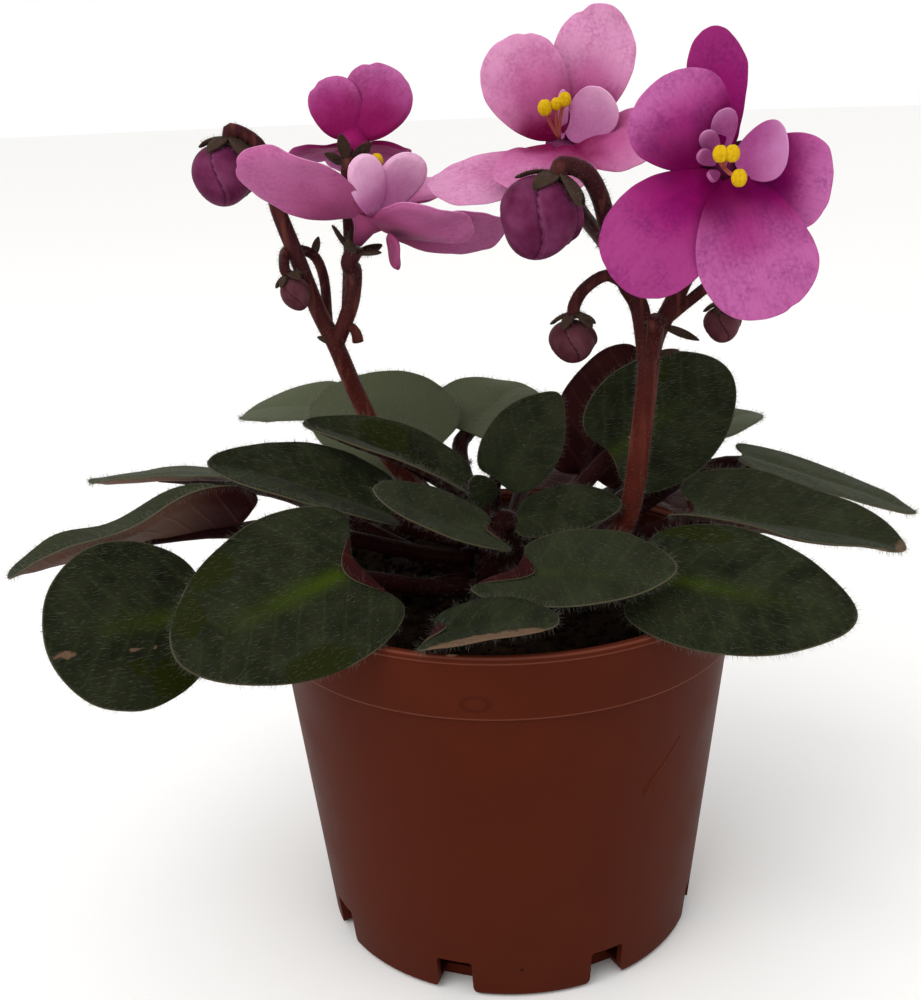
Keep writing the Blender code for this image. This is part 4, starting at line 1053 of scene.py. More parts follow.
# Stalks that are stouter than the rest where they leave the crown
STALK_GIRTH = {"right_edge": 1.45}
# How strong the yellow-green glow along the midrib is, where it isn't the usual one, and how pale a leaf is
GLOW_USUAL = 0.12
GLOW = {"front_left": 1.0, "far_left": 0.8, "front_right": 0.8, "right_round": 0.5, "front_middle": 0.25}
PALE = {
    "back_left": 0.85, "back": 0.95, "back_far_left": 0.9, "left_back": 0.35, "left_edge": 0.25, "heart": 0.1,
    "right_long": 0.1, "right_edge": 0.3, "back_right": 0.8, "front_middle": 0.1, "middle": 0.1,
}

# Wet patches: where they lie along and across the leaf, and their size, as shares of the leaf's own
WET = {
    "front_left": ((0.62, -0.72, 0.13, 0.22), (0.86, -0.3, 0.1, 0.2), (0.38, 0.86, 0.2, 0.2)),
    "far_left": ((0.3, 0.75, 0.14, 0.3), (0.5, 0.5, 0.05, 0.09)),
    "left_upper": ((0.5, -0.4, 0.16, 0.4),),
    "right_round": ((0.52, 0.62, 0.16, 0.2),),
    "front_right": ((0.12, 0.8, 0.2, 0.15),),
}

# Dry patches, given like the wet ones
DRY = {
    "far_left": ((0.9, 0.22, 0.07, 0.05), (0.5, 0.3, 0.05, 0.02), (0.38, 0.32, 0.04, 0.02)),
    "right_long": ((0.99, -0.1, 0.04, 0.25), (0.9, -0.5, 0.04, 0.1)),
    "rim_curl": (
        (0.3, -1.0, 0.4, 0.2), (0.65, -0.95, 0.35, 0.22), (0.88, -0.6, 0.2, 0.2), (-0.42, -0.45, 0.12, 0.3),
    ),
}

LEAF_THICKNESS = 0.75 * MM
LEAF_STALK_RADIUS = 1.15 * MM
MIDRIB_TIP_RADIUS = 0.4 * MM
MIDRIB_REACH = 0.55
MIDRIB_DEPTH = 0.4 * MM
STALK_PULL = 0.8
STALK_STEPS = 14
RIM_CLEARANCE_SPAN = 12 * MM
RIM_CLEARANCE_DROP = 6 * MM
CROWN_TOP = 56.5 * MM
CROWN_TIP_RADIUS = 2.6 * MM


def crown_radius(height):
    """The crown's radius: straight in the soil, drawn in towards its top."""
    share = max(0.0, (height - SOIL_TOP) / (CROWN_TOP - SOIL_TOP))
    return CROWN_RADIUS + (CROWN_TIP_RADIUS - CROWN_RADIUS) * share


def leaf_relief(number, width):
    """The low forms of a leaf's face: soft swellings, a groove along the midrib and a wavy margin."""
    away = Vector((number * 7.3, number * 3.1, 0.0))

    def lift(x, y, rho):
        swell = noise.noise(Vector((x, y, 0.0)) / (6 * MM) + away) * 0.35 * MM
        ripple = noise.noise(Vector((x, y, 0.0)) / (3 * MM) - away) * 0.3 * MM * rho**4
        groove = -0.3 * MM * math.exp(-((y / (0.9 * MM)) ** 2)) * (1 - rho**4)
        return (swell + ripple + groove) * min(1.0, width / 14)

    return lift


def leaf_outline(number):
    """A leaf's margin wanders in and out a little."""
    return lambda theta: 0.018 * noise.noise(
        Vector((math.cos(theta) * 2.2, math.sin(theta) * 2.2, number * 5.7))
    )


# %% Make every leaf and its hairs


def leaf_growth(finishes, maps):
    """Hairs of a leaf: standing and dense at the margin, lying on the face, few below, and on the stalk."""
    margin = (maps[:, 2] > 0.965) & (finishes < 2)
    density = np.where(margin, 20.0, np.choose(finishes, [3.6, 0.4, 1.6]))
    length = np.where(margin, 0.9, np.choose(finishes, [1.0, 0.5, 0.8]))
    rise = np.where(margin, 0.9, np.choose(finishes, [0.3, 0.8, 0.9]))
    lean = np.where(margin, 0.3, np.choose(finishes, [0.8, 0.3, 0.3]))
    stray = np.where(margin, 1.5, np.choose(finishes, [0.5, 1.5, 1.5]))
    return density, length, rise, lean, stray


def spot_field(x, y, at_x, at_y, long, wide):
    """A soft oval mark: 1 in its middle, one half at its edge. Places are shares of the leaf's size."""
    return np.exp(-0.7 * (((x - at_x) / long) ** 2 + ((y - at_y) / wide) ** 2))


hairs = 0
for number, (name, row) in enumerate(LEAVES.items()):
    base, tip, face, width, arch, wings, lobe, root_height = row
    blade = Blade(
        Vector(base) * MM, Vector(tip) * MM, face, width * MM, arch, wings, lobe=lobe,
        **{"point": 0.12, "waist": -0.1, **LEAF_SHAPE.get(name, {})},
        relief=leaf_relief(number, width), outline=leaf_outline(number),
    )
    plate = bent_blade(leaf_disc, blade, LEAF_THICKNESS, [leaf_skin, under_skin])
    angle = math.atan2(base[1], base[0]) + math.radians(STALK_TURN.get(name, 0.0))
    outward = Vector((math.cos(angle), math.sin(angle), 0.0))
    size = LEAF_STALK_RADIUS * min(1.0, 0.4 + width / 25)
    height = root_height * MM
    root = outward * (crown_radius(height - size) + SEAT) + Vector((0.0, 0.0, height))
    joint = blade.surface(0.0, 0.0, -size - MIDRIB_DEPTH)
    reach = (joint - root).length
    approach = blade.along + blade.normal * STALK_DIP.get(name, 0.0)
    path = hermite(root, outward * reach * STALK_PULL, joint, approach * reach * STALK_PULL, STALK_STEPS)
    for point in path:
        beyond = (point.xy.length - POT_RIM_RADIUS + POT_WALL) / RIM_CLEARANCE_SPAN
        clear = POT_HEIGHT + SEAT + size * 1.15 - beyond**2 * RIM_CLEARANCE_DROP
        point.z = max(point.z, clear) if abs(beyond) < 1.0 else point.z
    girth = STALK_GIRTH.get(name, 1.0)
    radii = [size * (girth + (1 - girth) * i / (len(path) - 1)) for i in range(len(path))]
    for step in (0.15, 0.3, 0.5, 0.75, 1.0):
        share = step * MIDRIB_REACH
        radius = size + (MIDRIB_TIP_RADIUS - size) * step
        x = share * blade.length
        path.append(blade.surface(x, 0.0, blade.relief(x, 0.0, 0.5) - radius - 0.1 * MM))
        radii.append(radius)
    piece = joined([plate, stem(path, radii, stalk_skin)])
    finish_piece(piece, "blade_" + name, "leaf", "leaf_" + name)
    maps = np.zeros(len(piece.data.vertices) * 3, np.float32)
    piece.data.attributes["blade_map"].data.foreach_get("vector", maps)
    maps = maps.reshape(-1, 3)
    x, y = maps[:, 0] / (blade.length / MM), maps[:, 1] / (width / 2)
    glow = np.exp(-((y / (0.10 + 0.05 * x)) ** 2)) * np.clip(1.15 - x * 1.5, 0, 1) * np.clip(x * 8 + 1, 0, 1)
    wet, dry = (
        sum((spot_field(x, y, *patch) for patch in patches.get(name, ())), np.zeros_like(x))
        for patches in (WET, DRY)
    )
    marks = np.stack([glow * GLOW.get(name, GLOW_USUAL), wet, np.full_like(x, PALE.get(name, 0.0))], 1)
    set_attribute(piece, "leaf_dry", "FLOAT", dry)
    set_attribute(piece, "leaf_marks", "FLOAT_VECTOR", marks)
    hairs += hair_coat(piece, "hairs_" + name, "leaf", plant_hair, leaf_growth, number)
print(len(LEAVES), "leaves with", hairs, "hairs")

# %% [markdown]
# ## The crown
# The crown is the short stem that all the stalks grow from. Little of it shows between them, so a
# turned form is enough, with a thick coat of hairs.

# %% The crown
CROWN_FOOT = 38.0 * MM
crown_profile = [
    (0.4 * MM, CROWN_FOOT), (CROWN_RADIUS * 0.8, CROWN_FOOT + 0.1 * MM), (CROWN_RADIUS, SOIL_TOP),
    (crown_radius(49 * MM), 49 * MM), (crown_radius(52 * MM), 52 * MM),
    (crown_radius(CROWN_TOP), CROWN_TOP - 1.2 * MM), (CROWN_TIP_RADIUS * 0.6, CROWN_TOP - 0.3 * MM),
    (0.4 * MM, CROWN_TOP),
]
crown = turned(crown_profile, 32)
close_ends(crown)
apply_modifier(crown, "SUBSURF", levels=1, render_levels=1)
crown.data.materials.append(stalk_skin)
finish_piece(crown, "crown_stem", "stem", "crown")
hairs = hair_coat(
    crown, "hairs_crown", "stem", plant_hair, lambda finishes, maps: (5.0, 1.0, 0.8, 0.5, 1.5), 90,
)
print("crown with", hairs, "hairs")

# %% [markdown]
# ## Flower stalks
# Each flower stalk forks into thin pedicels, and small pointed bracts stand at the forks. Five sepals
# hold each flower and bud. On the real plant they are one growth, so each stalk is one piece. Its skin
# is dark maroon with a brown tinge low down, and the sepals are olive-brown.

# %% The stalks' places
STALKS = {
    "stalk_left": {
        "root": (167, 52.4),
        "stems": [
            ([(-9, 5, 55.5), (-14.5, 5.7, 62), (-18.3, 5.5, 70.4), (-20.7, 3, 78.4), (-22.7, 3, 83),
              (-25, 3, 90.1), (-26.9, 3, 96), (-27.3, 2.6, 100), (-28.7, 2.2, 103.8)],
             1.35, 0.8, "bud_far_left"),
            ([(-20.7, 3, 78.4), (-19.4, 2, 81.2), (-18.2, 2, 84.3), (-17.6, 1, 88)], 1.0, 1.1, "left"),
            ([(-18.8, 2, 83), (-18.7, 5, 87), (-18.7, 8.6, 91), (-18.6, 8.6, 97)], 0.8, 0.9, "far"),
            ([(-21.6, 3.5, 81.5), (-22.2, 7, 86.5), (-23.5, 7, 89.6), (-26.2, 4, 90.6)],
             0.65, 0.7, "bud_left"),
            ([(-19.6, 2.4, 80.4), (-18.6, 1.8, 81), (-17.9, 1.8, 80.2), (-17.7, 1.9, 79.0)], 0.5, 0.75, None),
        ],
        "bracts": [((-20.7, 2.6, 78.8), (-22.9, 1.4, 79.9), 1.0), ((-23.4, 7, 89.2), (-22.4, 6.2, 92), 1.2)],
    },
    "stalk_right": {
        "root": (-27, 50.6),
        "stems": [
            ([(8.5, -5, 51.2), (12.4, -7, 53.5), (15.8, -8, 58.1), (17.4, -8, 69), (18.3, -8, 78.6)],
             1.35, 1.35, None),
            ([(18.1, -8, 76.5), (17.2, -7, 83.6), (15.4, -7, 87.1), (13.5, -8.5, 92.5), (12.2, -10.6, 97.2),
              (10.4, -12.4, 100.2)], 1.2, 1.0, "bud_large"),
            ([(15.6, -7, 86.6), (13.2, -7, 87.8), (10.6, -7.4, 86.4)], 0.7, 0.8, "bud_middle"),
            ([(18.3, -8, 77.5), (19.4, -6, 80.5), (21.6, -5, 84.5), (25, -4.2, 91.8), (26.4, -4.8, 97.6)],
             1.1, 1.1, "right"),
            ([(20.3, -5.4, 81.8), (23.4, -5, 84.2), (26, -5, 86.0)], 0.7, 0.75, "bud_right"),
            ([(14.6, -7.6, 89.4), (13, -1, 91.5), (11, 6, 94), (9.8, 11, 96.5)], 0.9, 1.1, "back"),
            ([(18.3, -8, 77), (18.6, -9.6, 80.6), (18.7, -11, 83.2)], 0.9, 1.1, None),
        ],
        "bracts": [((20, -5.8, 81.4), (24.5, -7, 79.6), 1.2), ((18.8, -7.6, 78.2), (21.9, -8, 78.8), 0.9)],
    },
}
# The flowers' throats and sepals (number, length, spread from the throat's way, first turn in degrees)
THROATS = {
    "right": ((26, -8.9, 100.4), (25.8, -12.6, 100.5), (5, 4.0, 66, 20)),
    "back": ((9, 10, 99.6), (8.7, 7.2, 102), (5, 4.0, 66, 0)),
    "left": ((-16.9, 0.1, 91.5), (-15, -0.2, 95.2), (5, 4.1, 58, 20)),
    "far": ((-17.9, 7.9, 101.5), (-17.6, 10.6, 103.4), (5, 3.6, 60, 18)),
}
# The buds: the middle, which way each points, its greatest radius and its length
BUDS = {
    "bud_far_left": ((-33.0, 2, 100.2), (-0.25, 0, -1), 3.9, 7.6),
    "bud_large": ((5.2, -13.6, 95.4), (-0.45, 0, -1), 4.6, 9.4),
    "bud_middle": ((9.1, -8, 80.2), (-0.05, 0, -1), 2.8, 5.2),
    "bud_right": ((27.2, -6, 81.3), (0, 0, -1), 2.2, 4.4),
    "bud_left": ((-24.9, -0.2, 85.7), (0.35, 0, -1), 1.8, 4.4),
}
SEPAL_THICKNESS = 0.65 * MM
SEPAL_WIDTH = 1.7 * MM
SEPAL_STEP = 0.06 * MM
SEPAL_HUG = 0.5 * MM
SEPALS_PER_BUD = 5

# %% The stalks' and the sepals' finishes
flower_stalk_skin = new_material("flower_stalk_skin")
pedicel_place = add_node(flower_stalk_skin, "TexCoord", out="Object")
pedicel_noise = add_node(
    flower_stalk_skin, "TexNoise", {"Vector": pedicel_place, "Scale": 320.0, "Detail": 4.0},
)
pedicel_low = layered(flower_stalk_skin, "#360f0b", (pedicel_noise, "#53231a"))
pedicel_high = layered(flower_stalk_skin, "#230a0c", (pedicel_noise, "#432024"))
pedicel_height = add_node(flower_stalk_skin, "SeparateXYZ", {"Vector": pedicel_place}, out="Z")
pedicel_share = add_node(
    flower_stalk_skin, "MapRange", {"Value": pedicel_height, "From Min": 0.068, "From Max": 0.088},
)
# Paler lines run up the stalk
pedicel_long = add_node(flower_stalk_skin, "Mapping", {"Vector": pedicel_place, "Scale": (1.0, 1.0, 0.05)})
pedicel_line = add_node(
    flower_stalk_skin, "TexNoise", {"Vector": pedicel_long, "Scale": 900.0, "Detail": 1.0},
)
pedicel_lined = add_node(
    flower_stalk_skin, "MapRange", {"Value": pedicel_line, "From Min": 0.5, "From Max": 0.7, "To Max": 0.45},
)
pedicel_tone = layered(
    flower_stalk_skin, pedicel_low, (pedicel_share, pedicel_high), (pedicel_lined, "#6e3c30"),
)
pedicel_fine = add_node(
    flower_stalk_skin, "TexNoise", {"Vector": pedicel_place, "Scale": 1800.0, "Detail": 2.0},
)
pedicel_bump = add_node(
    flower_stalk_skin, "Bump", {"Height": pedicel_fine, "Strength": 0.35, "Distance": 0.0002},
)
add_node(
    flower_stalk_skin, "Principled BSDF",
    {"Base Color": pedicel_tone, "Roughness": 0.42, "Normal": pedicel_bump, "IOR": 1.4},
)

sepal_skin = new_material("sepal_skin")
sepal_place = add_node(sepal_skin, "TexCoord", out="Object")
sepal_noise = add_node(sepal_skin, "TexNoise", {"Vector": sepal_place, "Scale": 500.0, "Detail": 4.0})
sepal_tone = layered(sepal_skin, "#21120e", (sepal_noise, "#4a3a30"))
sepal_bump = add_node(sepal_skin, "Bump", {"Height": sepal_noise, "Strength": 0.5, "Distance": 0.0003})
add_node(
    sepal_skin, "Principled BSDF",
    {"Base Color": sepal_tone, "Roughness": 0.6, "Normal": sepal_bump, "IOR": 1.4},
)

# %% Make the stalks


def sepal(base, tip, face, width, arch):
    """One sepal or bract: a small pointed blade whose upper face looks away from the flower."""
    blade = Blade(base, tip, face, width, arch, point=0.55)
    return bent_blade(sepal_disc, blade, SEPAL_THICKNESS * 0.75, [sepal_skin])


def ring_direction(axis, turn):
    """A direction across axis, turned about it (degrees)."""
    start = axis.cross(Vector((1.0, 0.0, 0.0)))
    if start.length < 0.1:
        start = axis.cross(Vector((0.0, 1.0, 0.0)))
    return Matrix.Rotation(math.radians(turn), 3, axis) @ start.normalized()


def throat_ends(name):
    """Where a flower's throat starts and ends."""
    return [Vector(point) * MM for point in THROATS[name][:2]]


def flower_sepals(name):
    """The sepals that stand behind an open flower's petals."""
    start, end = throat_ends(name)
    count, length, spread, turn = THROATS[name][2]
    axis = (end - start).normalized()
    for number in range(count):
        out = ring_direction(axis, turn + 360 * number / count)
        lean = math.radians(spread)
        way = axis * math.cos(lean) + out * math.sin(lean)
        face = out * math.cos(lean) - axis * math.sin(lean)
        foot = start - axis * (SEAT + SEPAL_THICKNESS + 0.3 * MM) + out * 0.52 * MM
        tip = foot + way * (length * MM - number * SEPAL_STEP)
        yield sepal(foot, tip, face, SEPAL_WIDTH * (1 + 0.05 * number), 15)


def bud_reach(name):
    """How far a bud's sepals stand from its middle."""
    return max(BUDS[name][2] * 1.06, BUDS[name][3] / 2) * MM + SEPAL_HUG


def bud_sepals(name):
    """The sepals that hold a bud, each on an arc round it."""
    centre, axis = Vector(BUDS[name][0]) * MM, Vector(BUDS[name][1]).normalized()
    around = bud_reach(name)
    for number in range(SEPALS_PER_BUD):
        out = ring_direction(axis, 30 + 360 / SEPALS_PER_BUD * number)
        foot, tip = (
            centre + (out * math.sin(turn) - axis * math.cos(turn)) * (around + number * SEPAL_STEP)
            for turn in (math.radians(3), math.radians(58))
        )
        width = max(1.1 * MM, around * 0.45) * (1 + 0.06 * number)
        yield sepal(foot, tip, foot + tip - centre * 2, width, 52)


def stem_end(name):
    """The last two points of the stem that carries this flower or bud."""
    if name in THROATS:
        start, end = throat_ends(name)
        axis = (end - start).normalized()
        return [start - axis * 2.6 * MM, start - axis * SEAT]
    centre, axis = Vector(BUDS[name][0]) * MM, Vector(BUDS[name][1]).normalized()
    return [centre - axis * (bud_reach(name) + 0.9 * MM), centre - axis * (BUDS[name][3] / 2 * MM + SEAT)]


for seed, (name, row) in enumerate(STALKS.items()):
    pieces = []
    angle, height = math.radians(row["root"][0]), row["root"][1] * MM
    for number, (points, first, last, end) in enumerate(row["stems"]):
        path = [Vector(point) * MM for point in points] + (stem_end(end) if end else [])
        if number == 0:
            outward = Vector((math.cos(angle), math.sin(angle), 0.0))
            root = outward * (crown_radius(height - first * MM) + SEAT) + Vector((0.0, 0.0, height))
            path = [root, root + outward * 1.5 * MM, *path]
        path = smooth_path(path, 4)
        radii = [(first + (last - first) * i / (len(path) - 1)) * MM for i in range(len(path))]
        pieces.append(stem(path, radii, flower_stalk_skin))
    for foot, tip, width in row["bracts"]:
        pieces.append(sepal(Vector(foot) * MM, Vector(tip) * MM, Vector((0.0, -1.0, 0.4)), width * MM, 20))
    for *_, end in row["stems"]:
        pieces += flower_sepals(end) if end in THROATS else bud_sepals(end) if end in BUDS else []
    piece = joined(pieces)
    finish_piece(piece, name + "_skin", "stem", name)
    hairs = hair_coat(
        piece, "hairs_" + name, "stem", plant_hair, lambda finishes, maps: (6.0, 0.55, 0.9, 0.4, 1.0),
        40 + seed, radius=0.018, outward=0.0,
    )
    print(name, len(piece.data.loop_triangles), "triangles,", hairs, "hairs")

# %% [markdown]
# ## Flowers
# ### Petal
# A petal is a thin, soft sheet: magenta at the throat, paler to its edge, with fine dark flecks and
# streaks along its veins. A little light passes through it, which subsurface scattering gives. Each
# flower has its own depth of colour, so one function makes the finish for each.

# %% The petals' finish


def petal_finish(name, throat, body, edge, fleck):
    """Petal tissue from these colours: at the throat, over most of it, at the edge and in the flecks."""
    made = new_material(name)
    where = add_node(made, "Attribute", out="Vector", attribute_name="blade_map")
    x, y, rho = add_node(made, "SeparateXYZ", {"Vector": where}).node.outputs
    place = add_node(made, "TexCoord", out="Object")
    cloud = add_node(made, "TexNoise", {"Vector": place, "Scale": 160.0, "Detail": 5.0, "Roughness": 0.6})
    # The deep colour reaches some 5 mm out of the throat, further where the noise is high
    far = add_node(
        made, "Math", {"Value": cloud, "Value_001": -10.0, "Value_002": x}, operation="MULTIPLY_ADD",
    )
    out_share = add_node(
        made, "MapRange", {"Value": far, "From Min": -3.5, "From Max": 3.5}, interpolation_type="SMOOTHSTEP",
    )
    inner = layered(made, throat, (out_share, body))
    side_cloud = add_node(made, "TexNoise", {"Vector": place, "Scale": 90.0, "Detail": 1.0})
    # Towards the tip and the rim the colour pales, unevenly
    edge_cloud = add_node(
        made, "Math", {"Value": side_cloud, "Value_001": 10.0, "Value_002": x}, operation="MULTIPLY_ADD",
    )
    edge_way = add_node(
        made, "Math", {"Value": rho, "Value_001": 3.0, "Value_002": edge_cloud}, operation="MULTIPLY_ADD",
    )
    edge_full = add_node(
        made, "MapRange", {"Value": edge_way, "From Min": 10.0, "From Max": 20.0},
        interpolation_type="SMOOTHSTEP",
    )
    paling = add_node(made, "Attribute", out="Fac", attribute_name="petal_paling")
    edge_share = add_node(made, "Math", {"Value": edge_full, "Value_001": paling}, operation="MULTIPLY")
    paler = layered(made, inner, (edge_share, edge))
    # Flecks 0.4 mm across, thicker in some places, and veins drawn out along the petal
    grain = add_node(made, "TexNoise", {"Vector": place, "Scale": 2300.0, "Detail": 2.0})
    patch = add_node(made, "TexNoise", {"Vector": place, "Scale": 320.0, "Detail": 2.0})
    both = add_node(made, "Math", {"Value": grain, "Value_001": patch}, operation="MULTIPLY")
    fleck_share = add_node(
        made, "MapRange", {"Value": both, "From Min": 0.2, "From Max": 0.42, "To Max": 0.4},
    )
    flecked = layered(made, paler, (fleck_share, fleck))
    along = add_node(made, "Mapping", {"Vector": where, "Scale": (0.2, 2.2, 0.0)})
    streaks = add_node(made, "TexNoise", {"Vector": along, "Scale": 1.0, "Detail": 2.0})
    streak_share = add_node(
        made, "MapRange", {"Value": streaks, "From Min": 0.5, "From Max": 0.8, "To Max": 0.3},
    )
    tone = layered(made, flecked, (streak_share, inner))
    height = add_node(
        made, "Math", {"Value": streaks, "Value_001": 0.7, "Value_002": grain}, operation="MULTIPLY_ADD",
    )
    bump = add_node(made, "Bump", {"Height": height, "Strength": 0.3, "Distance": 0.0002})
    add_node(
        made, "Principled BSDF",
        {"Base Color": tone, "Roughness": 0.5, "Normal": bump, "IOR": 1.38, "Subsurface Weight": 0.15,
         "Subsurface Radius": (1.0, 0.35, 0.6), "Subsurface Scale": 0.0008},
    )
    return made


PETAL_COLOURS = {
    "right": ("#5e003a", "#84065c", "#b4649c", "#58044e"),
    "back": ("#6c0838", "#ac5486", "#c98bb0", "#943870"),
    "left": ("#6c1748", "#a85486", "#c484aa", "#8c3a6c"),
    "far": ("#64063c", "#92306c", "#b0669a", "#62084a"),
}
OUTSIDE_COLOURS = {
    "right": ("#5c1a40", "#8e3f6c", "#a15a86", "#742a58"),
    "back": ("#6c2a50", "#a4587e", "#b87898", "#8c4470"),
    "left": ("#883c60", "#a34c7c", "#b66696", "#8c3a6c"),
    "far": ("#8a1858", "#9a3676", "#b0669a", "#7a1450"),
}
petal_fronts = {name: petal_finish("petal_" + name, *row) for name, row in PETAL_COLOURS.items()}
petal_backs = {name: petal_finish("petal_outside_" + name, *row) for name, row in OUTSIDE_COLOURS.items()}
petal_pale = petal_finish("petal_pale_lobe", "#b4649a", "#d49cc0", "#e4b8d2", "#be88ac")
petal_mauve = petal_finish("petal_mauve_lobe", "#94407a", "#b272a2", "#c896ba", "#a0648c")

# %% [markdown]
# ### The corollas
# Five petals stand on a short throat, with a few smaller pale ones inside. Each row gives a petal's
# base, tip, the way its upper face looks, its width and its arch.

# %% The petals' places
FLOWERS = {
    "right": {
        "petals": [
            ((25.6, -12.6, 101.6), (25.2, -9.4, 115.4), (0.45, -0.9, 0.2), 7.8, -10),
            ((24.6, -13, 101), (17.6, -12.6, 109.4), (-0.1, -0.95, 0.1), 11.5, 20),
            ((24.7, -13.4, 99.6), (13.6, -18, 88.4), (-0.1, -0.95, 0.25), 12.2, 25),
            ((26.2, -14.1, 99.3), (30.4, -19.8, 84.4), (0.1, -0.95, 0.3), 13.2, 25),
            ((27, -13, 100.3), (38, -12, 97), (0.1, -0.95, 0.15), 10.6, 20),
        ],
        "lobes": [
            ((26.8, -13, 101), (31.8, -17, 103), (0.3, -0.9, 0.4), 6.6, -40),
            ((25.6, -12.6, 101.6), (25.6, -14.8, 106.6), (0.1, -0.95, 0.1), 2.9, -30),
            ((25, -12.8, 101.4), (23.2, -15.4, 104.2), (-0.2, -0.95, 0.1), 2.1, -30),
            ((24.8, -13.2, 100.6), (22.6, -15.8, 102.0), (-0.2, -0.95, 0.1), 1.7, -30),
            ((25.2, -13.6, 99.8), (23.8, -16.2, 99.6), (-0.2, -0.95, 0.1), 1.4, -30),
        ],
    },
    "back": {
        "petals": [
            ((8.2, 7.4, 102.8), (1.7, 9, 115), (-0.1, -0.97, 0.1), 10.5, 20),
            ((9.4, 7.8, 102.8), (15.2, 12, 118.6), (0.1, -0.97, 0.2), 10.2, 20),
            ((7.6, 6.6, 102), (-7.4, -1.2, 97.4), (0.0, -0.42, 0.9), 10.4, -22),
            ((8.5, 6, 102), (4.6, -7, 97.4), (0.0, -0.4, 0.92), 12.5, 25),
            ((9.6, 6.6, 102), (21, 2.6, 103), (-0.1, -0.62, 0.78), 11.0, 15),
        ],
        "lobes": [
            ((9.6, 7.0, 102.8), (14.6, 4.6, 108), (0.1, -0.9, 0.3), 6.2, -40),
            ((8.9, 7.2, 102.8), (9, 6, 108.8), (0.1, -0.9, 0.3), 1.5, -20),
        ],
    },
    "left": {
        "petals": [
            ((-15.9, -1.2, 95.2), (-28.9, -8, 103.4), (0.45, 0.85, 0.6), 11.5, -15),
            ((-14.4, -1.8, 94), (-3.2, -9.5, 95.4), (-0.05, 0.62, 0.8), 10.5, -15),
            ((-13.6, -0.6, 93.8), (1.6, 1.5, 92.6), (-0.05, 0.6, 0.8), 10.0, -20),
            ((-14.6, 1, 95.2), (-8.6, 13, 98.5), (-0.1, -0.2, 1.0), 9.6, -15),
            ((-16, 0.8, 95.4), (-25.6, 6, 100.4), (0.3, -0.2, 1.0), 7.4, -15),
            ((-12.6, -1.6, 92.4), (-11.2, -4.2, 90.0), (0.0, 0.75, 0.65), 5.4, -20),
        ],
        "lobes": [
            ((-14.4, -1.4, 95.2), (-16.2, -3.4, 102.2), (-0.8, 0.5, 0.2), 6.2, -40),
            ((-14, -0.6, 95.2), (-8.6, 0.3, 101.8), (-0.3, 0.9, 0.3), 5.6, 50),
        ],
    },
    "far": {
        "petals": [
            ((-18.3, 10.4, 103.6), (-20.6, 9.5, 111.2), (0.1, 0.95, 0.1), 6.8, -15),
            ((-17, 10.4, 103.6), (-12.2, 9.5, 112.2), (0.1, 0.95, 0.2), 8.6, -15),
            ((-18.4, 11, 103), (-26.2, 15.5, 100.8), (0.0, 0.2, 1.0), 8.0, 20),
            ((-17.6, 11.4, 103), (-17.8, 22, 98.5), (0.0, 0.4, 1.0), 9.5, 20),
            ((-17, 11, 103), (-12, 16.5, 100.4), (0.0, 0.3, 1.0), 7.0, 20),
        ],
        "lobes": [((-17.6, 10.8, 104), (-17.4, 14, 108), (0.0, 0.9, 0.4), 4.5, -30)],
    },
}
PETAL_THICKNESS = 0.45 * MM
THROAT_RADIUS = 1.9 * MM
THROAT_SHAPE = (0.65, 0.8, 1.1)
# Nicks in some petals' edges: the angle from the tip, the depth and the width
DENTS = {
    ("back", 0): ((0.05, 0.05, 0.05), (-0.42, 0.05, 0.06)), ("back", 1): ((0.55, 0.06, 0.09),),
    ("far", 0): ((-0.5, 0.07, 0.1),), ("far", 1): ((-0.6, 0.08, 0.08),), ("right", 3): ((0.3, 0.04, 0.05),),
    ("left", 0): ((0.4, 0.06, 0.2), (-0.3, 0.04, 0.1)),
}
# A throat that widens into a cup: its radii, as shares of the usual one
CUP = {"left": (0.3, 0.7, 1.7)}
# How far each petal pales towards its tip, where that isn't 1
PALING = {("right", 0): 0.15, ("right", 1): 0.85, ("right", 2): 0.3, ("right", 3): 0.8, ("back", 3): 0.5}

# %% Make the corollas


def petal_outline(number, dents):
    """A petal's edge: broad lobes, a fine scallop towards the tip, and a dent at each given angle."""
    def edge(theta):
        spot = Vector((math.cos(theta), math.sin(theta), number * 3.7))
        tip = 0.5 + 0.5 * math.cos(theta)
        wander = 0.035 * noise.noise(spot * 1.5) + tip * 0.024 * noise.noise(spot * 8.0)
        return wander - sum(depth * math.exp(-(((theta - at) / wide) ** 2)) for at, depth, wide in dents)
    return edge


def petal_relief(number):
    """A petal's soft ruffles, which grow towards its edge."""
    def lift(x, y, rho):
        spot = Vector((x, y, 0.0))
        away = Vector((number * 4.1, 0.0, number * 2.3))
        broad, fine = (noise.noise(spot / (size * MM) + away) for size in (4, 1.8))
        return (0.35 * broad + 0.3 * fine * rho**3) * MM
    return lift


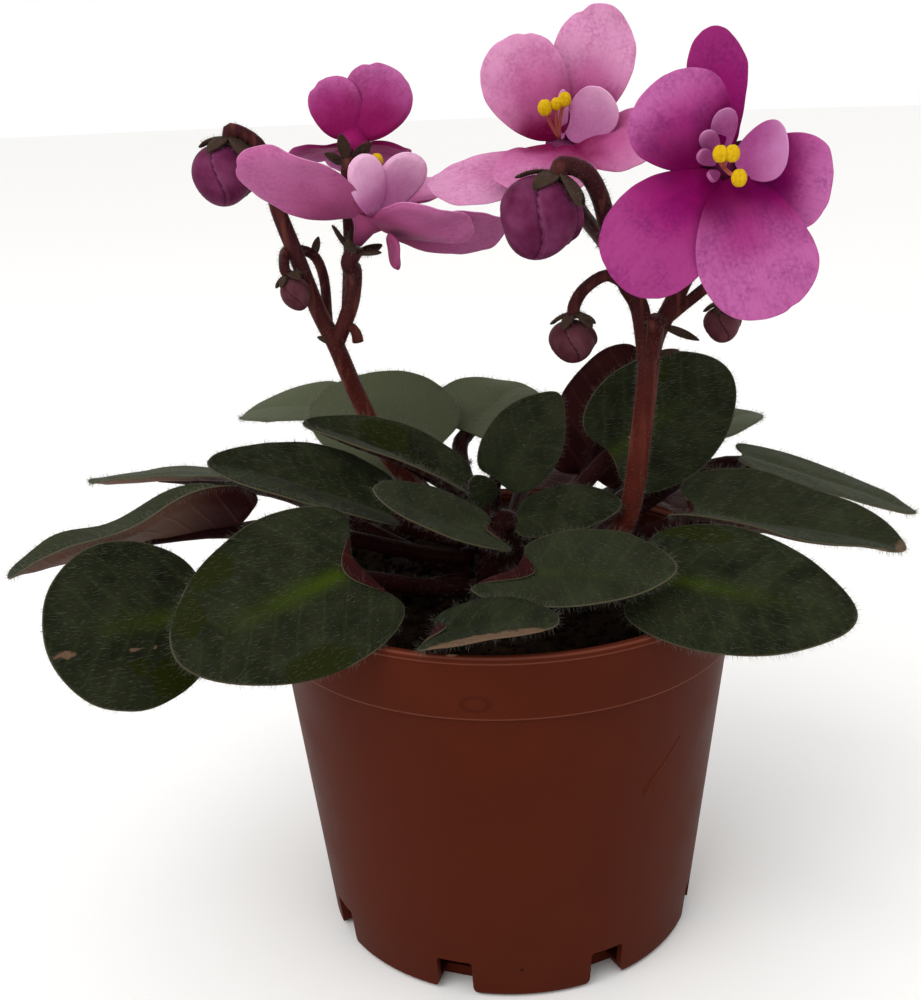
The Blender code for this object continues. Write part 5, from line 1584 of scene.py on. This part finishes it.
for flower, (name, row) in enumerate(FLOWERS.items()):
    start, end = throat_ends(name)
    path = [start, start.lerp(end, 0.5), end]
    radii = [THROAT_RADIUS * r for r in CUP.get(name, THROAT_SHAPE)]
    pieces = [stem(path, radii, petal_backs[name], 6)]
    for number, (base, tip, face, width, arch) in enumerate(row["petals"] + row["lobes"]):
        inner = number >= len(row["petals"])
        blade = Blade(
            Vector(base) * MM, Vector(tip) * MM, face, width * MM, arch, point=0.0, waist=0.22,
            wave=0.0 if inner else 0.05, waves=4, wave_start=number,
            relief=None if inner else petal_relief(flower * 7 + number),
            outline=petal_outline(flower * 7 + number, DENTS.get((name, number), ())),
        )
        lobe_finish = petal_mauve if name == "right" else petal_pale
        finishes = [lobe_finish] if inner else [petal_fronts[name], petal_backs[name]]
        petal = bent_blade(petal_disc, blade, PETAL_THICKNESS, finishes)
        share = PALING.get((name, number), 1.0)
        set_attribute(petal, "petal_paling", "FLOAT", [share] * len(petal.data.vertices))
        pieces.append(petal)
    piece = joined(pieces)
    finish_piece(piece, "petals_" + name, "petal", "corolla_" + name)
    print("petals_" + name, len(piece.data.loop_triangles), "triangles")

# %% [markdown]
# ### Anthers
# Each flower has two or three bright yellow pollen sacs that lean together on bowed, pale filaments.
# A sphere is pressed in along its middle to make the two lobes of a sac.

# %% The anthers
FILAMENT_RADIUS = 0.24 * MM
FILAMENT_BOW = 0.08
# Where the filaments start, and the place and radius of each sac (mm)
ANTHERS = {
    "right": (
        (25.5, -14.2, 100.3), [(24.6, -17, 102.0, 0.85), (25.9, -17, 102.0, 0.85), (26.7, -17, 99.4, 0.88)],
    ),
    "back": ((8.4, 6, 103.1), [(6.6, 3.4, 106.8, 0.9), (8.0, 3.4, 107.2, 0.7), (9, 3.2, 107.7, 0.8)]),
    "left": ((-15, 1.6, 96.5), [(-15.6, 4.2, 101, 0.8), (-14.3, 4.4, 101.2, 0.8)]),
    "far": ((-17.5, 12.7, 103.8), [(-18.2, 16, 105.6, 0.8), (-16.9, 16, 105.6, 0.8)]),
}
pollen_sac = new_material("pollen_sac")
sac_place = add_node(pollen_sac, "TexCoord", out="Object")
sac_grain = add_node(pollen_sac, "TexNoise", {"Vector": sac_place, "Scale": 2500.0, "Detail": 3.0})
sac_tone = layered(pollen_sac, "#a87a04", (sac_grain, "#dcb81c"))
sac_bump = add_node(pollen_sac, "Bump", {"Height": sac_grain, "Strength": 0.5, "Distance": 0.0001})
add_node(
    pollen_sac, "Principled BSDF",
    {"Base Color": sac_tone, "Roughness": 0.4, "Normal": sac_bump, "IOR": 1.4, "Subsurface Weight": 0.2,
     "Subsurface Radius": (1.0, 0.6, 0.2), "Subsurface Scale": 0.0006},
)
filament_skin = petal_finish("filament_skin", "#a8584c", "#b4784c", "#b98260", "#a04a58")

bpy.ops.object.select_all(action="DESELECT")
bpy.ops.mesh.primitive_uv_sphere_add(segments=24, ring_count=16, radius=1.0)
sac = bpy.context.object
for vert in sac.data.vertices:
    slit = 1 - 0.22 * math.exp(-((vert.co.x / 0.22) ** 2))
    vert.co = (vert.co.x, vert.co.y * 0.8 * slit, vert.co.z * 1.15 * (0.75 + 0.25 * slit))
sac.data.materials.append(pollen_sac)

for name, (foot, heads) in ANTHERS.items():
    foot = Vector(foot) * MM
    pieces = []
    for x, y, z, radius in heads:
        middle = Vector((x, y, z)) * MM
        head = copy_of(sac)
        head.scale = [radius * MM] * 3
        head.location = middle
        pieces.append(head)
        bow = (foot + middle) / 2 + (middle - foot).cross(Vector((0.0, 0.0, 1.0))) * FILAMENT_BOW
        path = smooth_path([foot, bow, middle], 5)
        pieces.append(stem(path, [FILAMENT_RADIUS] * len(path), filament_skin, 2))
    piece = joined(pieces)
    finish_piece(piece, "stamens_" + name, "anther", "anthers_" + name)
bpy.data.objects.remove(sac)
print(len(ANTHERS), "sets of anthers")

# %% [markdown]
# ## Buds
# A bud is an egg of petals folded over each other in a slow spiral, so its outline steps at each edge.
# A sphere has its points moved by that rule, and a short coat of hairs covers it.

# %% The buds
SEAM_SHADE = "#1c060e"
BUD_FOLDS = 4
# How far a fold stands out at its outer edge, how far it turns from pole to pole, where it is level with
# the egg's own surface, and how much the egg narrows towards its tip
FOLD_HEIGHT = 0.14
FOLD_TWIST = 0.45
FOLD_LEVEL = 0.7
BUD_TAPER = 0.12


def bud_finish(name, dark, light, edge):
    """Furled petal tissue: mottled, with a slightly paler line where each petal's edge lies."""
    made = new_material(name)
    place = add_node(made, "TexCoord", out="Object")
    fold = add_node(made, "Attribute", out="Fac", attribute_name="fold_map")
    cloud = add_node(made, "TexNoise", {"Vector": place, "Scale": 350.0, "Detail": 5.0})
    mixed = add_node(made, "MapRange", {"Value": cloud, "From Min": 0.3, "From Max": 0.7})
    line = add_node(made, "MapRange", {"Value": fold, "From Min": 0.9, "From Max": 1.0, "To Max": 0.3})
    # Beside each edge the petal below lies in shade
    seam = add_node(
        made, "MapRange", {"Value": fold, "From Min": 0.12, "From Max": 0.0, "To Max": 0.8},
        interpolation_type="SMOOTHSTEP",
    )
    tone = layered(made, dark, (mixed, light), (line, edge), (seam, SEAM_SHADE))
    bump = add_node(made, "Bump", {"Height": cloud, "Strength": 0.4, "Distance": 0.0003})
    add_node(made, "Principled BSDF", {"Base Color": tone, "Roughness": 0.5, "Normal": bump, "IOR": 1.4})
    return made


bud_plum = bud_finish("bud_petal_plum", "#4b1030", "#6c3052", "#805070")
bud_brown = bud_finish("bud_petal_brown", "#3c1820", "#5a343a", "#6e484e")

for seed, (name, (middle, way, radius, length)) in enumerate(BUDS.items()):
    axis = Vector(way).normalized()
    bpy.ops.object.select_all(action="DESELECT")
    bpy.ops.mesh.primitive_uv_sphere_add(segments=80, ring_count=40, radius=1.0)
    piece = bpy.context.object
    folds = []
    for vert in piece.data.vertices:
        turn = (math.atan2(vert.co.y, vert.co.x) / math.tau * BUD_FOLDS + vert.co.z * FOLD_TWIST) % 1.0
        fold = 1 + FOLD_HEIGHT * (turn - FOLD_LEVEL) * min(1.0, 1.6 * math.hypot(vert.co.x, vert.co.y))
        folds.append(turn)
        size = radius * MM * fold * (1 - BUD_TAPER * vert.co.z)
        vert.co.x *= size
        vert.co.y *= size
        vert.co.z *= length / 2 * MM
    set_attribute(piece, "fold_map", "FLOAT", folds)
    piece.rotation_euler = Vector((0.0, 0.0, 1.0)).rotation_difference(axis).to_euler()
    piece.location = Vector(middle) * MM
    piece.data.materials.append(bud_plum if radius > 3 else bud_brown)
    finish_piece(piece, name + "_petals", "bud", name)
    hair_coat(
        piece, "hairs_" + name, "bud", plant_hair, lambda finishes, maps: (1.6, 0.3, 0.7, 0.5, 1.0),
        60 + seed, radius=0.015, outward=0.0,
    )
for disc in (leaf_disc, petal_disc, sepal_disc):
    bpy.data.objects.remove(disc)
print(len(BUDS), "buds")

# %% [markdown]
# ## Sizes
# The boxes of the solids and of the dressed plant are both printed.

both = {"cad": cad_box, "visual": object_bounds()}
boxes = {name: [[float(v) for v in corner] for corner in box] for name, box in both.items()}
print(boxes)
shown = [piece for piece in scene.objects if piece.type == "MESH" and not piece.hide_render]
print(sum(len(piece.data.loop_triangles) for piece in shown), "triangles")
